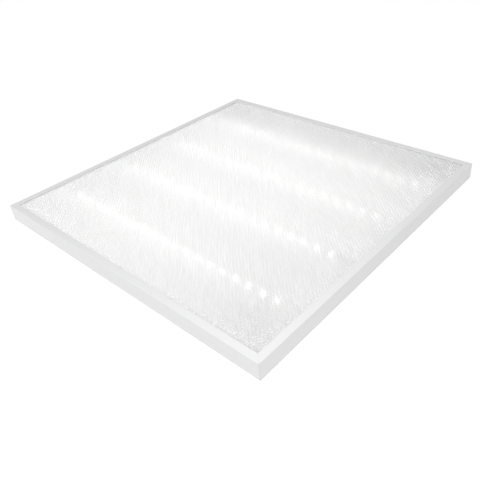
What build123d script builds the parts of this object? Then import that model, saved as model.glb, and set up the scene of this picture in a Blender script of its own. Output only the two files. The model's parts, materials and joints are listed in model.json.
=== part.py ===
"""Square surface-mounted LED panel, lying on its back with the light face up.

Millimetres. The origin is the centre of the ceiling face, +Z comes out of the light face, the lamp rows run
along X, and the end rail at +X comes off so that the diffuser can be slid out that way.
"""
from build123d import *
import os
from math import sqrt

os.makedirs("parts", exist_ok=True)

# Outer size
panel_side = 595.0
body_height = 30.0

# Frame rail: an extrusion with outer wall, face lip, diffuser shelf, key chamber and foot flange
rail_wall = 1.4
lip_width = 12.0
lip_thickness = 1.4
lip_edge_radius = 0.5
shelf_thickness = 1.2
chamber_width = 6.9
chamber_height = 9.0
chamber_wall = 1.2
flange_width = 18.0
flange_thickness = 1.4
end_rail_gap = 0.15

# Diffuser plate
diffuser_thickness = 2.0
diffuser_edge_gap = 0.8
diffuser_corner_radius = 2.0
slide_gap = 0.2

# Corner keys and the screws that clamp them
key_gap = 0.2
key_leg = 40.0
key_lead_in = 1.5
key_screw_inset = 22.0
key_screw_radius = 1.6
key_screw_head_radius = 2.9
key_screw_head_height = 2.0

# Screws, rivets and round fittings, common values; a hole has the same flats as what goes through it
screw_clearance = 0.2
tip_gap = 0.1
head_facets = 8
head_taper = 20.0
shank_facets = 6
round_facets = 12

# Back plate
back_recess = 2.6
back_thickness = 0.6
back_corner_radius = 3.0
plate_edge_clearance = 0.7
plate_screw_radius = 1.45
plate_screw_head_radius = 2.75
plate_screw_head_height = 1.7
plate_screw_length = 6.5
plate_screw_count = 4
plate_screw_end_inset = 57.5

# Keyholes for the ceiling screws, and the pads that they are pressed into
keyhole_spacing = 400.0
keyhole_entry_radius = 5.0
keyhole_slot_radius = 2.5
keyhole_travel = 10.0
keyhole_pad_radius = 16.0

# Stiffening beads of the back plate
bead_width = 10.0
bead_height = 1.6
bead_chamfer = 3.5
long_bead_length = 420.0
long_bead_offset = 160.0
short_bead_length = 240.0
short_bead_offset = 128.0

# Lamp rows, placed by their distance from the outer faces
row_count = 4
row_end_inset = 106.0
leds_per_row = 19
led_end_inset = 60.4
emitter_depth = 10.5
led_length = 3.5
led_width = 2.8
led_height = 0.7
board_width = 15.0
board_thickness = 1.2
board_end_margin = 14.9
board_rivet_radius = 1.3
board_rivet_head_radius = 2.2
board_rivet_head_height = 0.9
board_rivet_tail = 0.4
board_rivet_steps = (-8.5, -0.5, 8.5)

# Gear tray and the white film on it
tray_thickness = 0.8
tray_edge_gap = 0.6
tray_rim_height = 5.0
tray_corner_radius = 3.0
film_thickness = 0.3
film_gap = 0.4

# Pillars between back plate and tray
standoff_inset_x = 57.5
standoff_inset_y = 41.5
standoff_flats = 6.0
standoff_spigot_radius = 2.2
spigot_gap = 0.1
tray_screw_radius = 1.4
tray_screw_head_radius = 2.7
tray_screw_head_height = 1.6
tray_screw_length = 8.0

# Driver under the tray, below the row that it feeds
driver_row = 1
driver_length = 200.0
driver_width = 42.0
driver_wall = 1.2
driver_corner_radius = 2.0
driver_headroom = 0.3
driver_cover_thickness = 1.0
driver_rim_depth = 2.0
driver_rim_gap = 0.2
driver_tab_length = 12.0
driver_tab_width = 14.0
driver_screw_length = 2.4
circuit_margin = 2.5
circuit_thickness = 1.6
circuit_lift = 1.5
circuit_post_radius = 2.5
circuit_post_inset = 7.0
component_gap = 0.5

# Wiring pocket in the back, its window, lid and guides
pocket_center_x = 0.0
pocket_center_y = 64.0
pocket_length = 82.0
pocket_width = 45.0
pocket_wall = 1.4
pocket_headroom = 0.8
pocket_flange = 9.0
pocket_flange_thickness = 1.0
pocket_rivet_inset = 4.5
pocket_rivet_radius = 1.4
pocket_rivet_head_radius = 2.6
pocket_rivet_head_height = 0.7
lid_center_x = -12.0
lid_length = 50.0
lid_width = 40.6
lid_thickness = 1.0
lid_gap = 0.15
lid_grip = 1.0
guide_thickness = 2.4
guide_lip = 0.7
window_gap = 0.2
lid_ridge_height = 0.35
lid_ridge_width = 1.2
lid_ridge_pitch = 3.0
lid_ridge_count = 4

# Terminal block and its release buttons
terminal_center_x = -23.0
terminal_length = 22.0
terminal_width = 34.0
terminal_lift = 2.0
pole_pitch = 10.5
pole_count = 3
pole_entry_radius = 1.7
pole_entry_depth = 9.0
button_offset_x = -5.0
button_side = 4.0
button_gap = 0.2
button_proud = 0.8
button_height = 4.0
button_travel = 1.0

# Strain relief bar in the pocket
clamp_center_x = 6.0
clamp_length = 8.0
clamp_width = 28.0
clamp_thickness = 2.6
clamp_lift = 1.9
clamp_screw_spacing = 21.0
clamp_boss_radius = 3.0
clamp_screw_radius = 1.3
clamp_screw_head_radius = 2.5
clamp_screw_head_height = 1.6

# Grommet of the supply cable
cable_entry_x = 29.0
cable_bore_radius = 4.0
grommet_neck_radius = 8.1
grommet_collar_radius = 9.6
grommet_gap = 0.1
grommet_lower_collar = 1.2
grommet_upper_collar = 1.8

# Wires
wire_facets = 6
wire_radius = 0.8
supply_wire_radius = 0.9
wire_lift = 6.1
wire_hole_gap = 0.3
wire_pair_pitch = 3.2
supply_reach = 24.0
supply_wire_step = 6.0
supply_bend = 8.0
connector_length = 7.0
connector_width = 12.4
connector_height = 3.0
connector_chamfer = 0.7
connector_inset = 1.5
connector_wire_lift = 1.2
jumper_reach = 16.0
jumper_step = 3.6
jumper_offset = 2.4
jumper_bend = 5.0
feed_reach = 12.0
tray_grommet_bore = 3.9
tray_grommet_neck = 4.9
tray_grommet_collar = 6.1
tray_grommet_proud = 1.2
clip_width = 6.0
clip_side_wall = 2.0
clip_cap = 2.0
clip_run_inset = 42.0
wire_grip_gap = 0.1

# Earth point on the back plate
earth_x = -70.0
earth_y = 20.0
earth_tag_radius = 4.2
earth_tag_thickness = 0.8
earth_barrel_radius = 1.6
earth_barrel_length = 7.0
earth_screw_radius = 1.9
earth_screw_head_radius = 3.6
earth_screw_head_height = 2.4
earth_bend = 4.0

# Levels and places worked out from the sizes above
half_side = panel_side / 2
lip_bottom = body_height - lip_thickness
diffuser_top = lip_bottom - slide_gap
diffuser_bottom = diffuser_top - diffuser_thickness
shelf_top = diffuser_bottom - slide_gap
chamber_top = shelf_top - shelf_thickness
chamber_bottom = chamber_top - chamber_height
chamber_reach = rail_wall + chamber_width + chamber_wall
plate_top = back_recess + back_thickness
board_top = body_height - emitter_depth - led_height
tray_top = board_top - board_thickness
tray_bottom = tray_top - tray_thickness
film_top = tray_top + film_thickness

key_inner = rail_wall + key_gap
key_outer = rail_wall + chamber_width - key_gap
key_bottom = chamber_bottom + key_gap
key_height = chamber_height - 2 * key_gap
key_screw_u = rail_wall + chamber_width / 2

plate_edge_inset = key_screw_u + key_screw_head_radius + plate_edge_clearance
back_side = panel_side - 2 * plate_edge_inset
plate_screw_inset = (plate_edge_inset + flange_width) / 2
plate_screw_pitch = (panel_side - 2 * plate_screw_end_inset) / (plate_screw_count - 1)
key_screw_spacing = panel_side - 2 * key_screw_inset

row_pitch = (panel_side - 2 * row_end_inset) / (row_count - 1)
led_span = panel_side - 2 * led_end_inset
led_pitch = led_span / (leds_per_row - 1)
row_places = [row_end_inset - half_side + row * row_pitch for row in range(row_count)]
board_half = led_span / 2 + board_end_margin
board_rivet_places = [led_pitch * step for step in board_rivet_steps]
tray_half = half_side - chamber_reach - tray_edge_gap
standoff_spacing_x = half_side - standoff_inset_x
standoff_spacing_y = half_side - standoff_inset_y

driver_half = driver_length / 2
driver_center_y = row_places[driver_row]
driver_top = tray_bottom - board_rivet_tail - driver_headroom
driver_cover_bottom = driver_top - driver_cover_thickness
driver_floor = plate_top + driver_wall
driver_tab_center = driver_half + driver_tab_length / 2
circuit_bottom = driver_floor + circuit_lift
circuit_top = circuit_bottom + circuit_thickness
component_height = driver_cover_bottom - component_gap - circuit_top
circuit_half_length = driver_half - driver_wall - circuit_margin
circuit_half_width = driver_width / 2 - driver_wall - circuit_margin
circuit_post_spacing_x = 2 * (circuit_half_length - circuit_post_inset)
circuit_post_spacing_y = 2 * (circuit_half_width - circuit_post_inset)

pocket_top = tray_bottom - pocket_headroom
pocket_ceiling = pocket_top - pocket_wall
pocket_flange_top = plate_top + pocket_flange_thickness
lid_top = back_recess - lid_gap - window_gap / 2
lid_bottom = lid_top - lid_thickness
guide_inner = lid_length / 2 - lid_grip
guide_outer = guide_inner + guide_thickness
lid_x = pocket_center_x + lid_center_x
terminal_bottom = plate_top + terminal_lift
terminal_x = pocket_center_x + terminal_center_x
button_bottom = terminal_bottom - button_proud
pole_places = [pocket_center_y + pole_pitch * (pole - (pole_count - 1) / 2) for pole in range(pole_count)]
clamp_x = pocket_center_x + clamp_center_x
clamp_bottom = plate_top + clamp_lift
clamp_top = clamp_bottom + clamp_thickness
cable_x = pocket_center_x + cable_entry_x

wire_level = plate_top + wire_lift
connector_level = board_top + connector_wire_lift
connector_outer = board_half - connector_inset
feed_x = board_half + feed_reach
feed_row = driver_center_y


def side_plane(turn, inset, level):
    """A level plane on one side of the panel: origin inset from the outer face, X along the side."""
    outward = Vector(1, 0, 0).rotate(Axis.Z, turn)
    along = Vector(0, 1, 0).rotate(Axis.Z, turn)
    return Plane(origin=outward * (half_side - inset) + Vector(0, 0, level), x_dir=along, z_dir=(0, 0, 1))


def frame_rail(turn, flange_lift, mitre_gap, plate_screws):
    """A mitred rail. Its section has X inward from the outer face and Y up, and is carried along the side.

    flange_lift raises the foot flange, mitre_gap shortens both ends, plate_screws drills the flange.
    """
    outward = Vector(1, 0, 0).rotate(Axis.Z, turn)
    along = Vector(0, 1, 0).rotate(Axis.Z, turn)
    flange_bottom = plate_top + flange_lift
    flange_top = plate_top + flange_thickness
    with BuildPart() as rail:
        with BuildSketch(Plane(origin=outward * half_side, x_dir=outward * -1, z_dir=along)) as section:
            with BuildLine():
                Polyline(
                    (0, 0),
                    (rail_wall, 0),
                    (rail_wall, flange_bottom),
                    (flange_width, flange_bottom),
                    (flange_width, flange_top),
                    (rail_wall, flange_top),
                    (rail_wall, chamber_bottom - chamber_wall),
                    (chamber_reach, chamber_bottom - chamber_wall),
                    (chamber_reach, shelf_top),
                    (rail_wall, shelf_top),
                    (rail_wall, lip_bottom),
                    (lip_width, lip_bottom),
                    (lip_width, body_height),
                    (0, body_height),
                    close=True,
                )
            make_face()
            fillet(section.vertices().group_by(Axis.Y)[-1], radius=lip_edge_radius)
            with Locations((rail_wall + chamber_width / 2, chamber_bottom + chamber_height / 2)):
                Rectangle(chamber_width, chamber_height, mode=Mode.SUBTRACT)
        extrude(amount=half_side, both=True)
        for end in (1, -1):
            corner = outward * half_side + along * (half_side * end)
            mitre = Plane(origin=corner - along * (mitre_gap * end), z_dir=along * end - outward)
            split(bisect_by=mitre, keep=Keep.BOTTOM)
        with BuildSketch(side_plane(turn, key_screw_u, flange_bottom)):
            with GridLocations(key_screw_spacing, 1, 2, 1):
                RegularPolygon(key_screw_radius + screw_clearance, shank_facets)
        extrude(amount=chamber_bottom - flange_bottom, mode=Mode.SUBTRACT)
        if plate_screws:
            with BuildSketch(side_plane(turn, plate_screw_inset, flange_bottom)):
                with GridLocations(plate_screw_pitch, 1, plate_screw_count, 1):
                    RegularPolygon(plate_screw_radius + screw_clearance, shank_facets)
            extrude(amount=flange_thickness, mode=Mode.SUBTRACT)
    return rail


def corner_key(turn):
    """An L-shaped key for the chambers of two rails at one corner, drawn from the outer corner inward."""
    corner = Vector(half_side, half_side, key_bottom).rotate(Axis.Z, turn)
    inward = Vector(-1, 0, 0).rotate(Axis.Z, turn)
    with BuildPart() as key:
        with BuildSketch(Plane(origin=corner, x_dir=inward, z_dir=(0, 0, 1))) as outline:
            with BuildLine():
                Polyline(
                    (key_inner, key_inner),
                    (key_leg, key_inner),
                    (key_leg, key_outer),
                    (key_outer, key_outer),
                    (key_outer, key_leg),
                    (key_inner, key_leg),
                    close=True,
                )
            make_face()
            tips = outline.vertices().group_by(Axis.X)[-1] + outline.vertices().group_by(Axis.Y)[-1]
            chamfer(tips, length=key_lead_in)
        extrude(amount=key_height)
    return key


def pan_screw(head_radius, head_height, shank_radius, shank_length):
    """A pan-head screw or rivet whose bearing face is at Z 0, with its head below it and its shank above."""
    with BuildPart() as screw:
        with BuildSketch():
            RegularPolygon(head_radius, head_facets)
        extrude(amount=-head_height, taper=head_taper)
        with BuildSketch():
            RegularPolygon(shank_radius, shank_facets)
        extrude(amount=shank_length)
    return screw.part


def wire(points, bend_radius, radius):
    """An insulated wire: a six-sided section carried along straight runs joined by arcs."""
    with BuildPart() as lead:
        with BuildLine() as route:
            FilletPolyline(*points, radius=bend_radius)
        with BuildSketch(Plane(origin=route.line @ 0, z_dir=route.line % 0)):
            RegularPolygon(radius, wire_facets)
        sweep(path=route.line)
    return lead


# Frame rails: three that stay together, and the end rail that comes off along +X
frame_rail_back = frame_rail(90, 0, 0, True)
frame_rail_back.part.label = "frame_rail_back"
export_step(frame_rail_back.part, "parts/frame_rail_back.step")

frame_rail_left = frame_rail(180, 0, 0, True)
frame_rail_left.part.label = "frame_rail_left"
export_step(frame_rail_left.part, "parts/frame_rail_left.step")

frame_rail_front = frame_rail(270, 0, 0, True)
frame_rail_front.part.label = "frame_rail_front"
export_step(frame_rail_front.part, "parts/frame_rail_front.step")

end_rail = frame_rail(0, slide_gap, end_rail_gap, False)
end_rail.part.label = "end_rail"
export_step(end_rail.part, "parts/end_rail.step")

# Corner keys; the two at the right leave with the end rail
for key_name, key_turn in (
    ("corner_key_back_right", 0),
    ("corner_key_back_left", 90),
    ("corner_key_front_left", 180),
    ("corner_key_front_right", 270),
):
    key = corner_key(key_turn)
    key.part.label = key_name
    export_step(key.part, f"parts/{key_name}.step")

# Clamp screws: each is driven through flange and chamber floor until its tip presses on a key
key_screw = pan_screw(
    key_screw_head_radius,
    key_screw_head_height,
    key_screw_radius,
    key_bottom - tip_gap - plate_top,
)
with BuildPart() as corner_clamp_screws:
    for turn in (90, 180, 270):
        with Locations(side_plane(turn, key_screw_u, plate_top)):
            with GridLocations(key_screw_spacing, 1, 2, 1):
                add(key_screw)
corner_clamp_screws.part.label = "corner_clamp_screws"
export_step(corner_clamp_screws.part, "parts/corner_clamp_screws.step")

end_rail_screw = pan_screw(
    key_screw_head_radius,
    key_screw_head_height,
    key_screw_radius,
    key_bottom - tip_gap - plate_top - slide_gap,
)
with BuildPart() as end_rail_screws:
    with Locations(side_plane(0, key_screw_u, plate_top + slide_gap)):
        with GridLocations(key_screw_spacing, 1, 2, 1):
            add(end_rail_screw)
end_rail_screws.part.label = "end_rail_screws"
export_step(end_rail_screws.part, "parts/end_rail_screws.step")

# Diffuser: the plate whose outer face carries the fine prisms
diffuser_side = panel_side - 2 * (rail_wall + diffuser_edge_gap)
with BuildPart() as diffuser:
    with BuildSketch(Plane.XY.offset(diffuser_bottom)):
        RectangleRounded(diffuser_side, diffuser_side, diffuser_corner_radius)
    extrude(amount=diffuser_thickness)
diffuser.part.label = "diffuser"
export_step(diffuser.part, "parts/diffuser.step")

# Back plate: a sheet with four sloping pads pressed out to the ceiling plane, beads pressed in, and holes
keyhole_places = [
    (keyhole_spacing / 2 * x_side, keyhole_spacing / 2 * y_side) for x_side in (-1, 1) for y_side in (-1, 1)
]
pad_slope = 45
pad_shift = keyhole_travel / 2
pad_void_base = keyhole_pad_radius - back_thickness * (sqrt(2) - 1)
bead_places = [
    (-long_bead_offset, 0, long_bead_length, 90),
    (long_bead_offset, 0, long_bead_length, 90),
    (0, -short_bead_offset, short_bead_length, 0),
    (0, short_bead_offset, short_bead_length, 0),
]
pocket_rivet_spacing_x = pocket_length + 2 * pocket_rivet_inset
pocket_rivet_spacing_y = pocket_width - 2 * pocket_rivet_inset
with BuildPart() as back_plate:
    with BuildSketch(Plane.XY.offset(back_recess)):
        RectangleRounded(back_side, back_side, back_corner_radius)
    extrude(amount=back_thickness)
    with BuildSketch():
        with Locations(*[(x, y + pad_shift) for x, y in keyhole_places]):
            RegularPolygon(keyhole_pad_radius, round_facets)
    extrude(amount=plate_top, taper=-pad_slope)
    with BuildSketch(Plane.XY.offset(back_thickness)):
        with Locations(*[(x, y + pad_shift) for x, y in keyhole_places]):
            RegularPolygon(pad_void_base, round_facets)
    extrude(amount=back_recess, taper=-pad_slope, mode=Mode.SUBTRACT)
    with BuildSketch():
        with Locations(*keyhole_places):
            Circle(keyhole_entry_radius)
        with Locations(*[(x, y + keyhole_travel / 2) for x, y in keyhole_places]):
            Rectangle(2 * keyhole_slot_radius, keyhole_travel)
        with Locations(*[(x, y + keyhole_travel) for x, y in keyhole_places]):
            Circle(keyhole_slot_radius)
    extrude(amount=back_thickness, mode=Mode.SUBTRACT)
    with BuildSketch(Plane.XY.offset(plate_top)) as bead_outline:
        for x, y, length, turn in bead_places:
            with Locations((x, y)):
                Rectangle(length, bead_width, rotation=turn)
        chamfer(bead_outline.vertices(), length=bead_chamfer)
    extrude(amount=bead_height)
    with BuildSketch(Plane.XY.offset(back_recess)) as bead_hollow:
        for x, y, length, turn in bead_places:
            with Locations((x, y)):
                Rectangle(length - 2 * back_thickness, bead_width - 2 * back_thickness, rotation=turn)
        chamfer(bead_hollow.vertices(), length=bead_chamfer - back_thickness * (2 - sqrt(2)))
    extrude(amount=bead_height, mode=Mode.SUBTRACT)
    for turn in (90, 180, 270):
        with BuildSketch(side_plane(turn, plate_screw_inset, back_recess)):
            with GridLocations(plate_screw_pitch, 1, plate_screw_count, 1):
                RegularPolygon(plate_screw_radius + screw_clearance, shank_facets)
        extrude(amount=back_thickness, mode=Mode.SUBTRACT)
    with BuildSketch(Plane.XY.offset(back_recess)):
        with GridLocations(standoff_spacing_x, standoff_spacing_y, 3, 3):
            RegularPolygon(standoff_spigot_radius + spigot_gap, shank_facets)
        with Locations((0, driver_center_y)):
            with GridLocations(2 * driver_tab_center, 1, 2, 1):
                RegularPolygon(plate_screw_radius + screw_clearance, shank_facets)
        with Locations((pocket_center_x, pocket_center_y)):
            with GridLocations(pocket_rivet_spacing_x, pocket_rivet_spacing_y, 2, 2):
                RegularPolygon(pocket_rivet_radius + screw_clearance, shank_facets)
        with Locations((lid_x, pocket_center_y)):
            Rectangle(2 * (guide_outer + window_gap), lid_width + 2 * window_gap)
        with Locations((cable_x, pocket_center_y)):
            RegularPolygon(grommet_neck_radius + grommet_gap, round_facets)
        with Locations((earth_x, earth_y)):
            RegularPolygon(earth_screw_radius + screw_clearance, shank_facets)
    extrude(amount=back_thickness, mode=Mode.SUBTRACT)
back_plate.part.label = "back_plate"
export_step(back_plate.part, "parts/back_plate.step")

plate_screw = pan_screw(
    plate_screw_head_radius, plate_screw_head_height, plate_screw_radius, plate_screw_length
)
with BuildPart() as back_plate_screws:
    for turn in (90, 180, 270):
        with Locations(side_plane(turn, plate_screw_inset, back_recess)):
            with GridLocations(plate_screw_pitch, 1, plate_screw_count, 1):
                add(plate_screw)
back_plate_screws.part.label = "back_plate_screws"
export_step(back_plate_screws.part, "parts/back_plate_screws.step")

# Hexagonal pillars: a spigot pressed into the back plate, a tapped hole for the tray screw
with BuildPart() as tray_standoffs:
    with BuildSketch(Plane.XY.offset(plate_top)):
        with GridLocations(standoff_spacing_x, standoff_spacing_y, 3, 3):
            RegularPolygon(standoff_flats / 2, 6, major_radius=False)
    extrude(amount=tray_bottom - plate_top)
    with BuildSketch(Plane.XY.offset(back_recess)):
        with GridLocations(standoff_spacing_x, standoff_spacing_y, 3, 3):
            RegularPolygon(standoff_spigot_radius, shank_facets)
    extrude(amount=back_thickness)
    with BuildSketch(Plane.XY.offset(tray_bottom)):
        with GridLocations(standoff_spacing_x, standoff_spacing_y, 3, 3):
            RegularPolygon(tray_screw_radius + tip_gap, shank_facets)
    extrude(amount=-tray_screw_length, mode=Mode.SUBTRACT)
tray_standoffs.part.label = "tray_standoffs"
export_step(tray_standoffs.part, "parts/tray_standoffs.step")

# Gear tray: a shallow pan of white sheet with an upturned rim, drilled for screws, rivets and the feed wires
with BuildPart() as gear_tray:
    with BuildSketch(Plane.XY.offset(tray_bottom)):
        RectangleRounded(2 * tray_half, 2 * tray_half, tray_corner_radius)
    extrude(amount=tray_thickness + tray_rim_height)
    offset(amount=-tray_thickness, openings=gear_tray.faces().sort_by(Axis.Z)[-1])
    with BuildSketch(Plane.XY.offset(tray_bottom)):
        with GridLocations(standoff_spacing_x, standoff_spacing_y, 3, 3):
            RegularPolygon(tray_screw_radius + screw_clearance, shank_facets)
        with Locations(*[(x, y) for x in board_rivet_places for y in row_places]):
            RegularPolygon(board_rivet_radius + tip_gap, shank_facets)
        with Locations((feed_x, feed_row)):
            RegularPolygon(tray_grommet_neck + grommet_gap, round_facets)
    extrude(amount=tray_thickness, mode=Mode.SUBTRACT)
gear_tray.part.label = "gear_tray"
export_step(gear_tray.part, "parts/gear_tray.step")

tray_screw = pan_screw(tray_screw_head_radius, tray_screw_head_height, tray_screw_radius, tray_screw_length)
with BuildPart() as tray_screws:
    with Locations(Location((0, 0, tray_top), (180, 0, 0))):
        with GridLocations(standoff_spacing_x, standoff_spacing_y, 3, 3):
            add(tray_screw)
tray_screws.part.label = "tray_screws"
export_step(tray_screws.part, "parts/tray_screws.step")

# Reflector film: lies on the tray, cut out round the boards, the screw heads and the feed grommet
film_half = tray_half - 2 * tray_thickness - film_gap
with BuildPart() as reflector_sheet:
    with BuildSketch(Plane.XY.offset(tray_top)):
        RectangleRounded(2 * film_half, 2 * film_half, tray_corner_radius)
        with Locations(*[(0, y) for y in row_places]):
            Rectangle(2 * (board_half + film_gap), board_width + 2 * film_gap, mode=Mode.SUBTRACT)
        with GridLocations(standoff_spacing_x, standoff_spacing_y, 3, 3):
            RegularPolygon(tray_screw_head_radius + film_gap, head_facets, mode=Mode.SUBTRACT)
        with Locations((feed_x, feed_row)):
            RegularPolygon(tray_grommet_collar + film_gap, round_facets, mode=Mode.SUBTRACT)
    extrude(amount=film_thickness)
reflector_sheet.part.label = "reflector_sheet"
export_step(reflector_sheet.part, "parts/reflector_sheet.step")

# Lamp boards, each a strip with its row of lamps
for row, row_y in enumerate(row_places, start=1):
    with BuildPart() as led_board:
        with BuildSketch(Plane.XY.offset(tray_top)):
            with Locations((0, row_y)):
                Rectangle(2 * board_half, board_width)
            with Locations(*[(x, row_y) for x in board_rivet_places]):
                RegularPolygon(board_rivet_radius + tip_gap, shank_facets, mode=Mode.SUBTRACT)
        extrude(amount=board_thickness)
    led_board.part.label = f"led_board_{row}"
    export_step(led_board.part, f"parts/led_board_{row}.step")

    with BuildPart() as leds_row:
        with BuildSketch(Plane.XY.offset(board_top)):
            with Locations((0, row_y)):
                with GridLocations(led_pitch, 1, leds_per_row, 1):
                    Rectangle(led_length, led_width)
        extrude(amount=led_height)
    leds_row.part.label = f"leds_row_{row}"
    export_step(leds_row.part, f"parts/leds_row_{row}.step")

board_rivet = pan_screw(
    board_rivet_head_radius,
    board_rivet_head_height,
    board_rivet_radius,
    board_thickness + tray_thickness + board_rivet_tail,
)
with BuildPart() as board_rivets:
    with Locations(Location((0, 0, board_top), (180, 0, 0))):
        with Locations(*[(x, -y) for x in board_rivet_places for y in row_places]):
            add(board_rivet)
board_rivets.part.label = "board_rivets"
export_step(board_rivets.part, "parts/board_rivets.step")

# Wire connectors at the ends of the boards
connector_center = connector_outer - connector_length / 2
with BuildPart() as jumper_connectors:
    with BuildSketch(Plane.XY.offset(board_top)):
        with Locations(*[(-connector_center, y) for y in row_places]):
            Rectangle(connector_length, connector_width)
    extrude(amount=connector_height)
    connector_tops = jumper_connectors.faces().group_by(Axis.Z)[-1]
    chamfer(connector_tops.edges().filter_by(Axis.X), length=connector_chamfer)
jumper_connectors.part.label = "jumper_connectors"
export_step(jumper_connectors.part, "parts/jumper_connectors.step")

with BuildPart() as feed_connector:
    with BuildSketch(Plane.XY.offset(board_top)):
        with Locations((connector_center, feed_row)):
            Rectangle(connector_length, connector_width)
    extrude(amount=connector_height)
    connector_tops = feed_connector.faces().group_by(Axis.Z)[-1]
    chamfer(connector_tops.edges().filter_by(Axis.X), length=connector_chamfer)
feed_connector.part.label = "feed_connector"
export_step(feed_connector.part, "parts/feed_connector.step")


def jumper_points(row, reach, shift):
    """The route of a wire from one board's connector, out past the boards' ends, to the next connector."""
    start_y = row_places[row] + shift
    end_y = row_places[row + 1] - shift
    return [
        (-connector_outer, start_y, connector_level),
        (-board_half - reach, start_y, connector_level),
        (-board_half - reach, end_y, connector_level),
        (-connector_outer, end_y, connector_level),
    ]


# Jumper wires, one nested pair between each two boards
outer_jumpers = [
    wire(jumper_points(row, jumper_reach, jumper_offset), jumper_bend, wire_radius)
    for row in range(row_count - 1)
]
inner_jumpers = [
    wire(
        jumper_points(row, jumper_reach - jumper_step, jumper_offset + wire_pair_pitch - wire_radius),
        jumper_bend,
        wire_radius,
    )
    for row in range(row_count - 1)
]
with BuildPart() as jumper_wires_positive:
    for lead in outer_jumpers:
        add(lead.part)
jumper_wires_positive.part.label = "jumper_wires_positive"
export_step(jumper_wires_positive.part, "parts/jumper_wires_positive.step")

with BuildPart() as jumper_wires_negative:
    for lead in inner_jumpers:
        add(lead.part)
jumper_wires_negative.part.label = "jumper_wires_negative"
export_step(jumper_wires_negative.part, "parts/jumper_wires_negative.step")

# Grommet where the feed wires come up through the tray: two collars joined by a neck
with BuildPart() as tray_grommet:
    with BuildSketch(Plane.XY.offset(tray_bottom - tray_grommet_proud)):
        with Locations((feed_x, feed_row)):
            RegularPolygon(tray_grommet_collar, round_facets)
    extrude(amount=tray_grommet_proud)
    with BuildSketch(Plane.XY.offset(tray_bottom)):
        with Locations((feed_x, feed_row)):
            RegularPolygon(tray_grommet_neck, round_facets)
    extrude(amount=tray_thickness)
    with BuildSketch(Plane.XY.offset(tray_top)):
        with Locations((feed_x, feed_row)):
            RegularPolygon(tray_grommet_collar, round_facets)
    extrude(amount=tray_grommet_proud)
    with BuildSketch(Plane.XY.offset(tray_bottom - tray_grommet_proud)):
        with Locations((feed_x, feed_row)):
            RegularPolygon(tray_grommet_bore, round_facets, major_radius=False)
    extrude(amount=tray_thickness + 2 * tray_grommet_proud, mode=Mode.SUBTRACT)
tray_grommet.part.label = "tray_grommet"
export_step(tray_grommet.part, "parts/tray_grommet.step")

# Driver housing: a tray with end tabs and posts for its circuit board, wire holes in both end walls
driver_wire_places = [driver_center_y + wire_pair_pitch * side / 2 for side in (-1, 1)]
supply_wire_places = [driver_center_y + supply_wire_step * side / 2 for side in (-1, 1)]
with BuildPart() as driver_base:
    with BuildSketch(Plane.XY.offset(plate_top)):
        with Locations((0, driver_center_y)):
            RectangleRounded(driver_length, driver_width, driver_corner_radius)
    extrude(amount=driver_cover_bottom - plate_top)
    offset(amount=-driver_wall, openings=driver_base.faces().sort_by(Axis.Z)[-1])
    with BuildSketch(Plane.XY.offset(plate_top)):
        with Locations((0, driver_center_y)):
            with GridLocations(2 * driver_tab_center, 1, 2, 1):
                Rectangle(driver_tab_length, driver_tab_width)
                RegularPolygon(plate_screw_radius + screw_clearance, shank_facets, mode=Mode.SUBTRACT)
    extrude(amount=driver_wall)
    with BuildSketch(Plane.XY.offset(driver_floor)):
        with Locations((0, driver_center_y)):
            with GridLocations(circuit_post_spacing_x, circuit_post_spacing_y, 2, 2):
                RegularPolygon(circuit_post_radius, shank_facets)
    extrude(amount=circuit_lift)
    with BuildSketch(Plane.YZ.offset(driver_half)):
        with Locations(*[(y, wire_level) for y in driver_wire_places]):
            RegularPolygon(wire_radius + wire_hole_gap, wire_facets, major_radius=False)
    extrude(amount=-driver_wall, mode=Mode.SUBTRACT)
    with BuildSketch(Plane.YZ.offset(-driver_half)):
        with Locations(*[(y, wire_level) for y in supply_wire_places]):
            RegularPolygon(supply_wire_radius + wire_hole_gap, wire_facets, major_radius=False)
    extrude(amount=driver_wall, mode=Mode.SUBTRACT)
driver_base.part.label = "driver_base"
export_step(driver_base.part, "parts/driver_base.step")

rim_inset = 2 * (driver_wall + driver_rim_gap)
with BuildPart() as driver_cover:
    with BuildSketch(Plane.XY.offset(driver_cover_bottom)):
        with Locations((0, driver_center_y)):
            RectangleRounded(driver_length, driver_width, driver_corner_radius)
    extrude(amount=driver_cover_thickness)
    with BuildSketch(Plane.XY.offset(driver_cover_bottom)):
        with Locations((0, driver_center_y)):
            RectangleRounded(driver_length - rim_inset, driver_width - rim_inset, driver_corner_radius / 2)
            Rectangle(
                driver_length - rim_inset - 2 * driver_wall,
                driver_width - rim_inset - 2 * driver_wall,
                mode=Mode.SUBTRACT,
            )
    extrude(amount=-driver_rim_depth)
driver_cover.part.label = "driver_cover"
export_step(driver_cover.part, "parts/driver_cover.step")

driver_screw = pan_screw(
    plate_screw_head_radius, plate_screw_head_height, plate_screw_radius, driver_screw_length
)
with BuildPart() as driver_screws:
    with Locations(Location((0, driver_center_y, driver_floor), (180, 0, 0))):
        with GridLocations(2 * driver_tab_center, 1, 2, 1):
            add(driver_screw)
driver_screws.part.label = "driver_screws"
export_step(driver_screws.part, "parts/driver_screws.step")

with BuildPart() as driver_board:
    with BuildSketch(Plane.XY.offset(circuit_bottom)):
        with Locations((0, driver_center_y)):
            Rectangle(2 * circuit_half_length, 2 * circuit_half_width)
    extrude(amount=circuit_thickness)
driver_board.part.label = "driver_board"
export_step(driver_board.part, "parts/driver_board.step")

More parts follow.
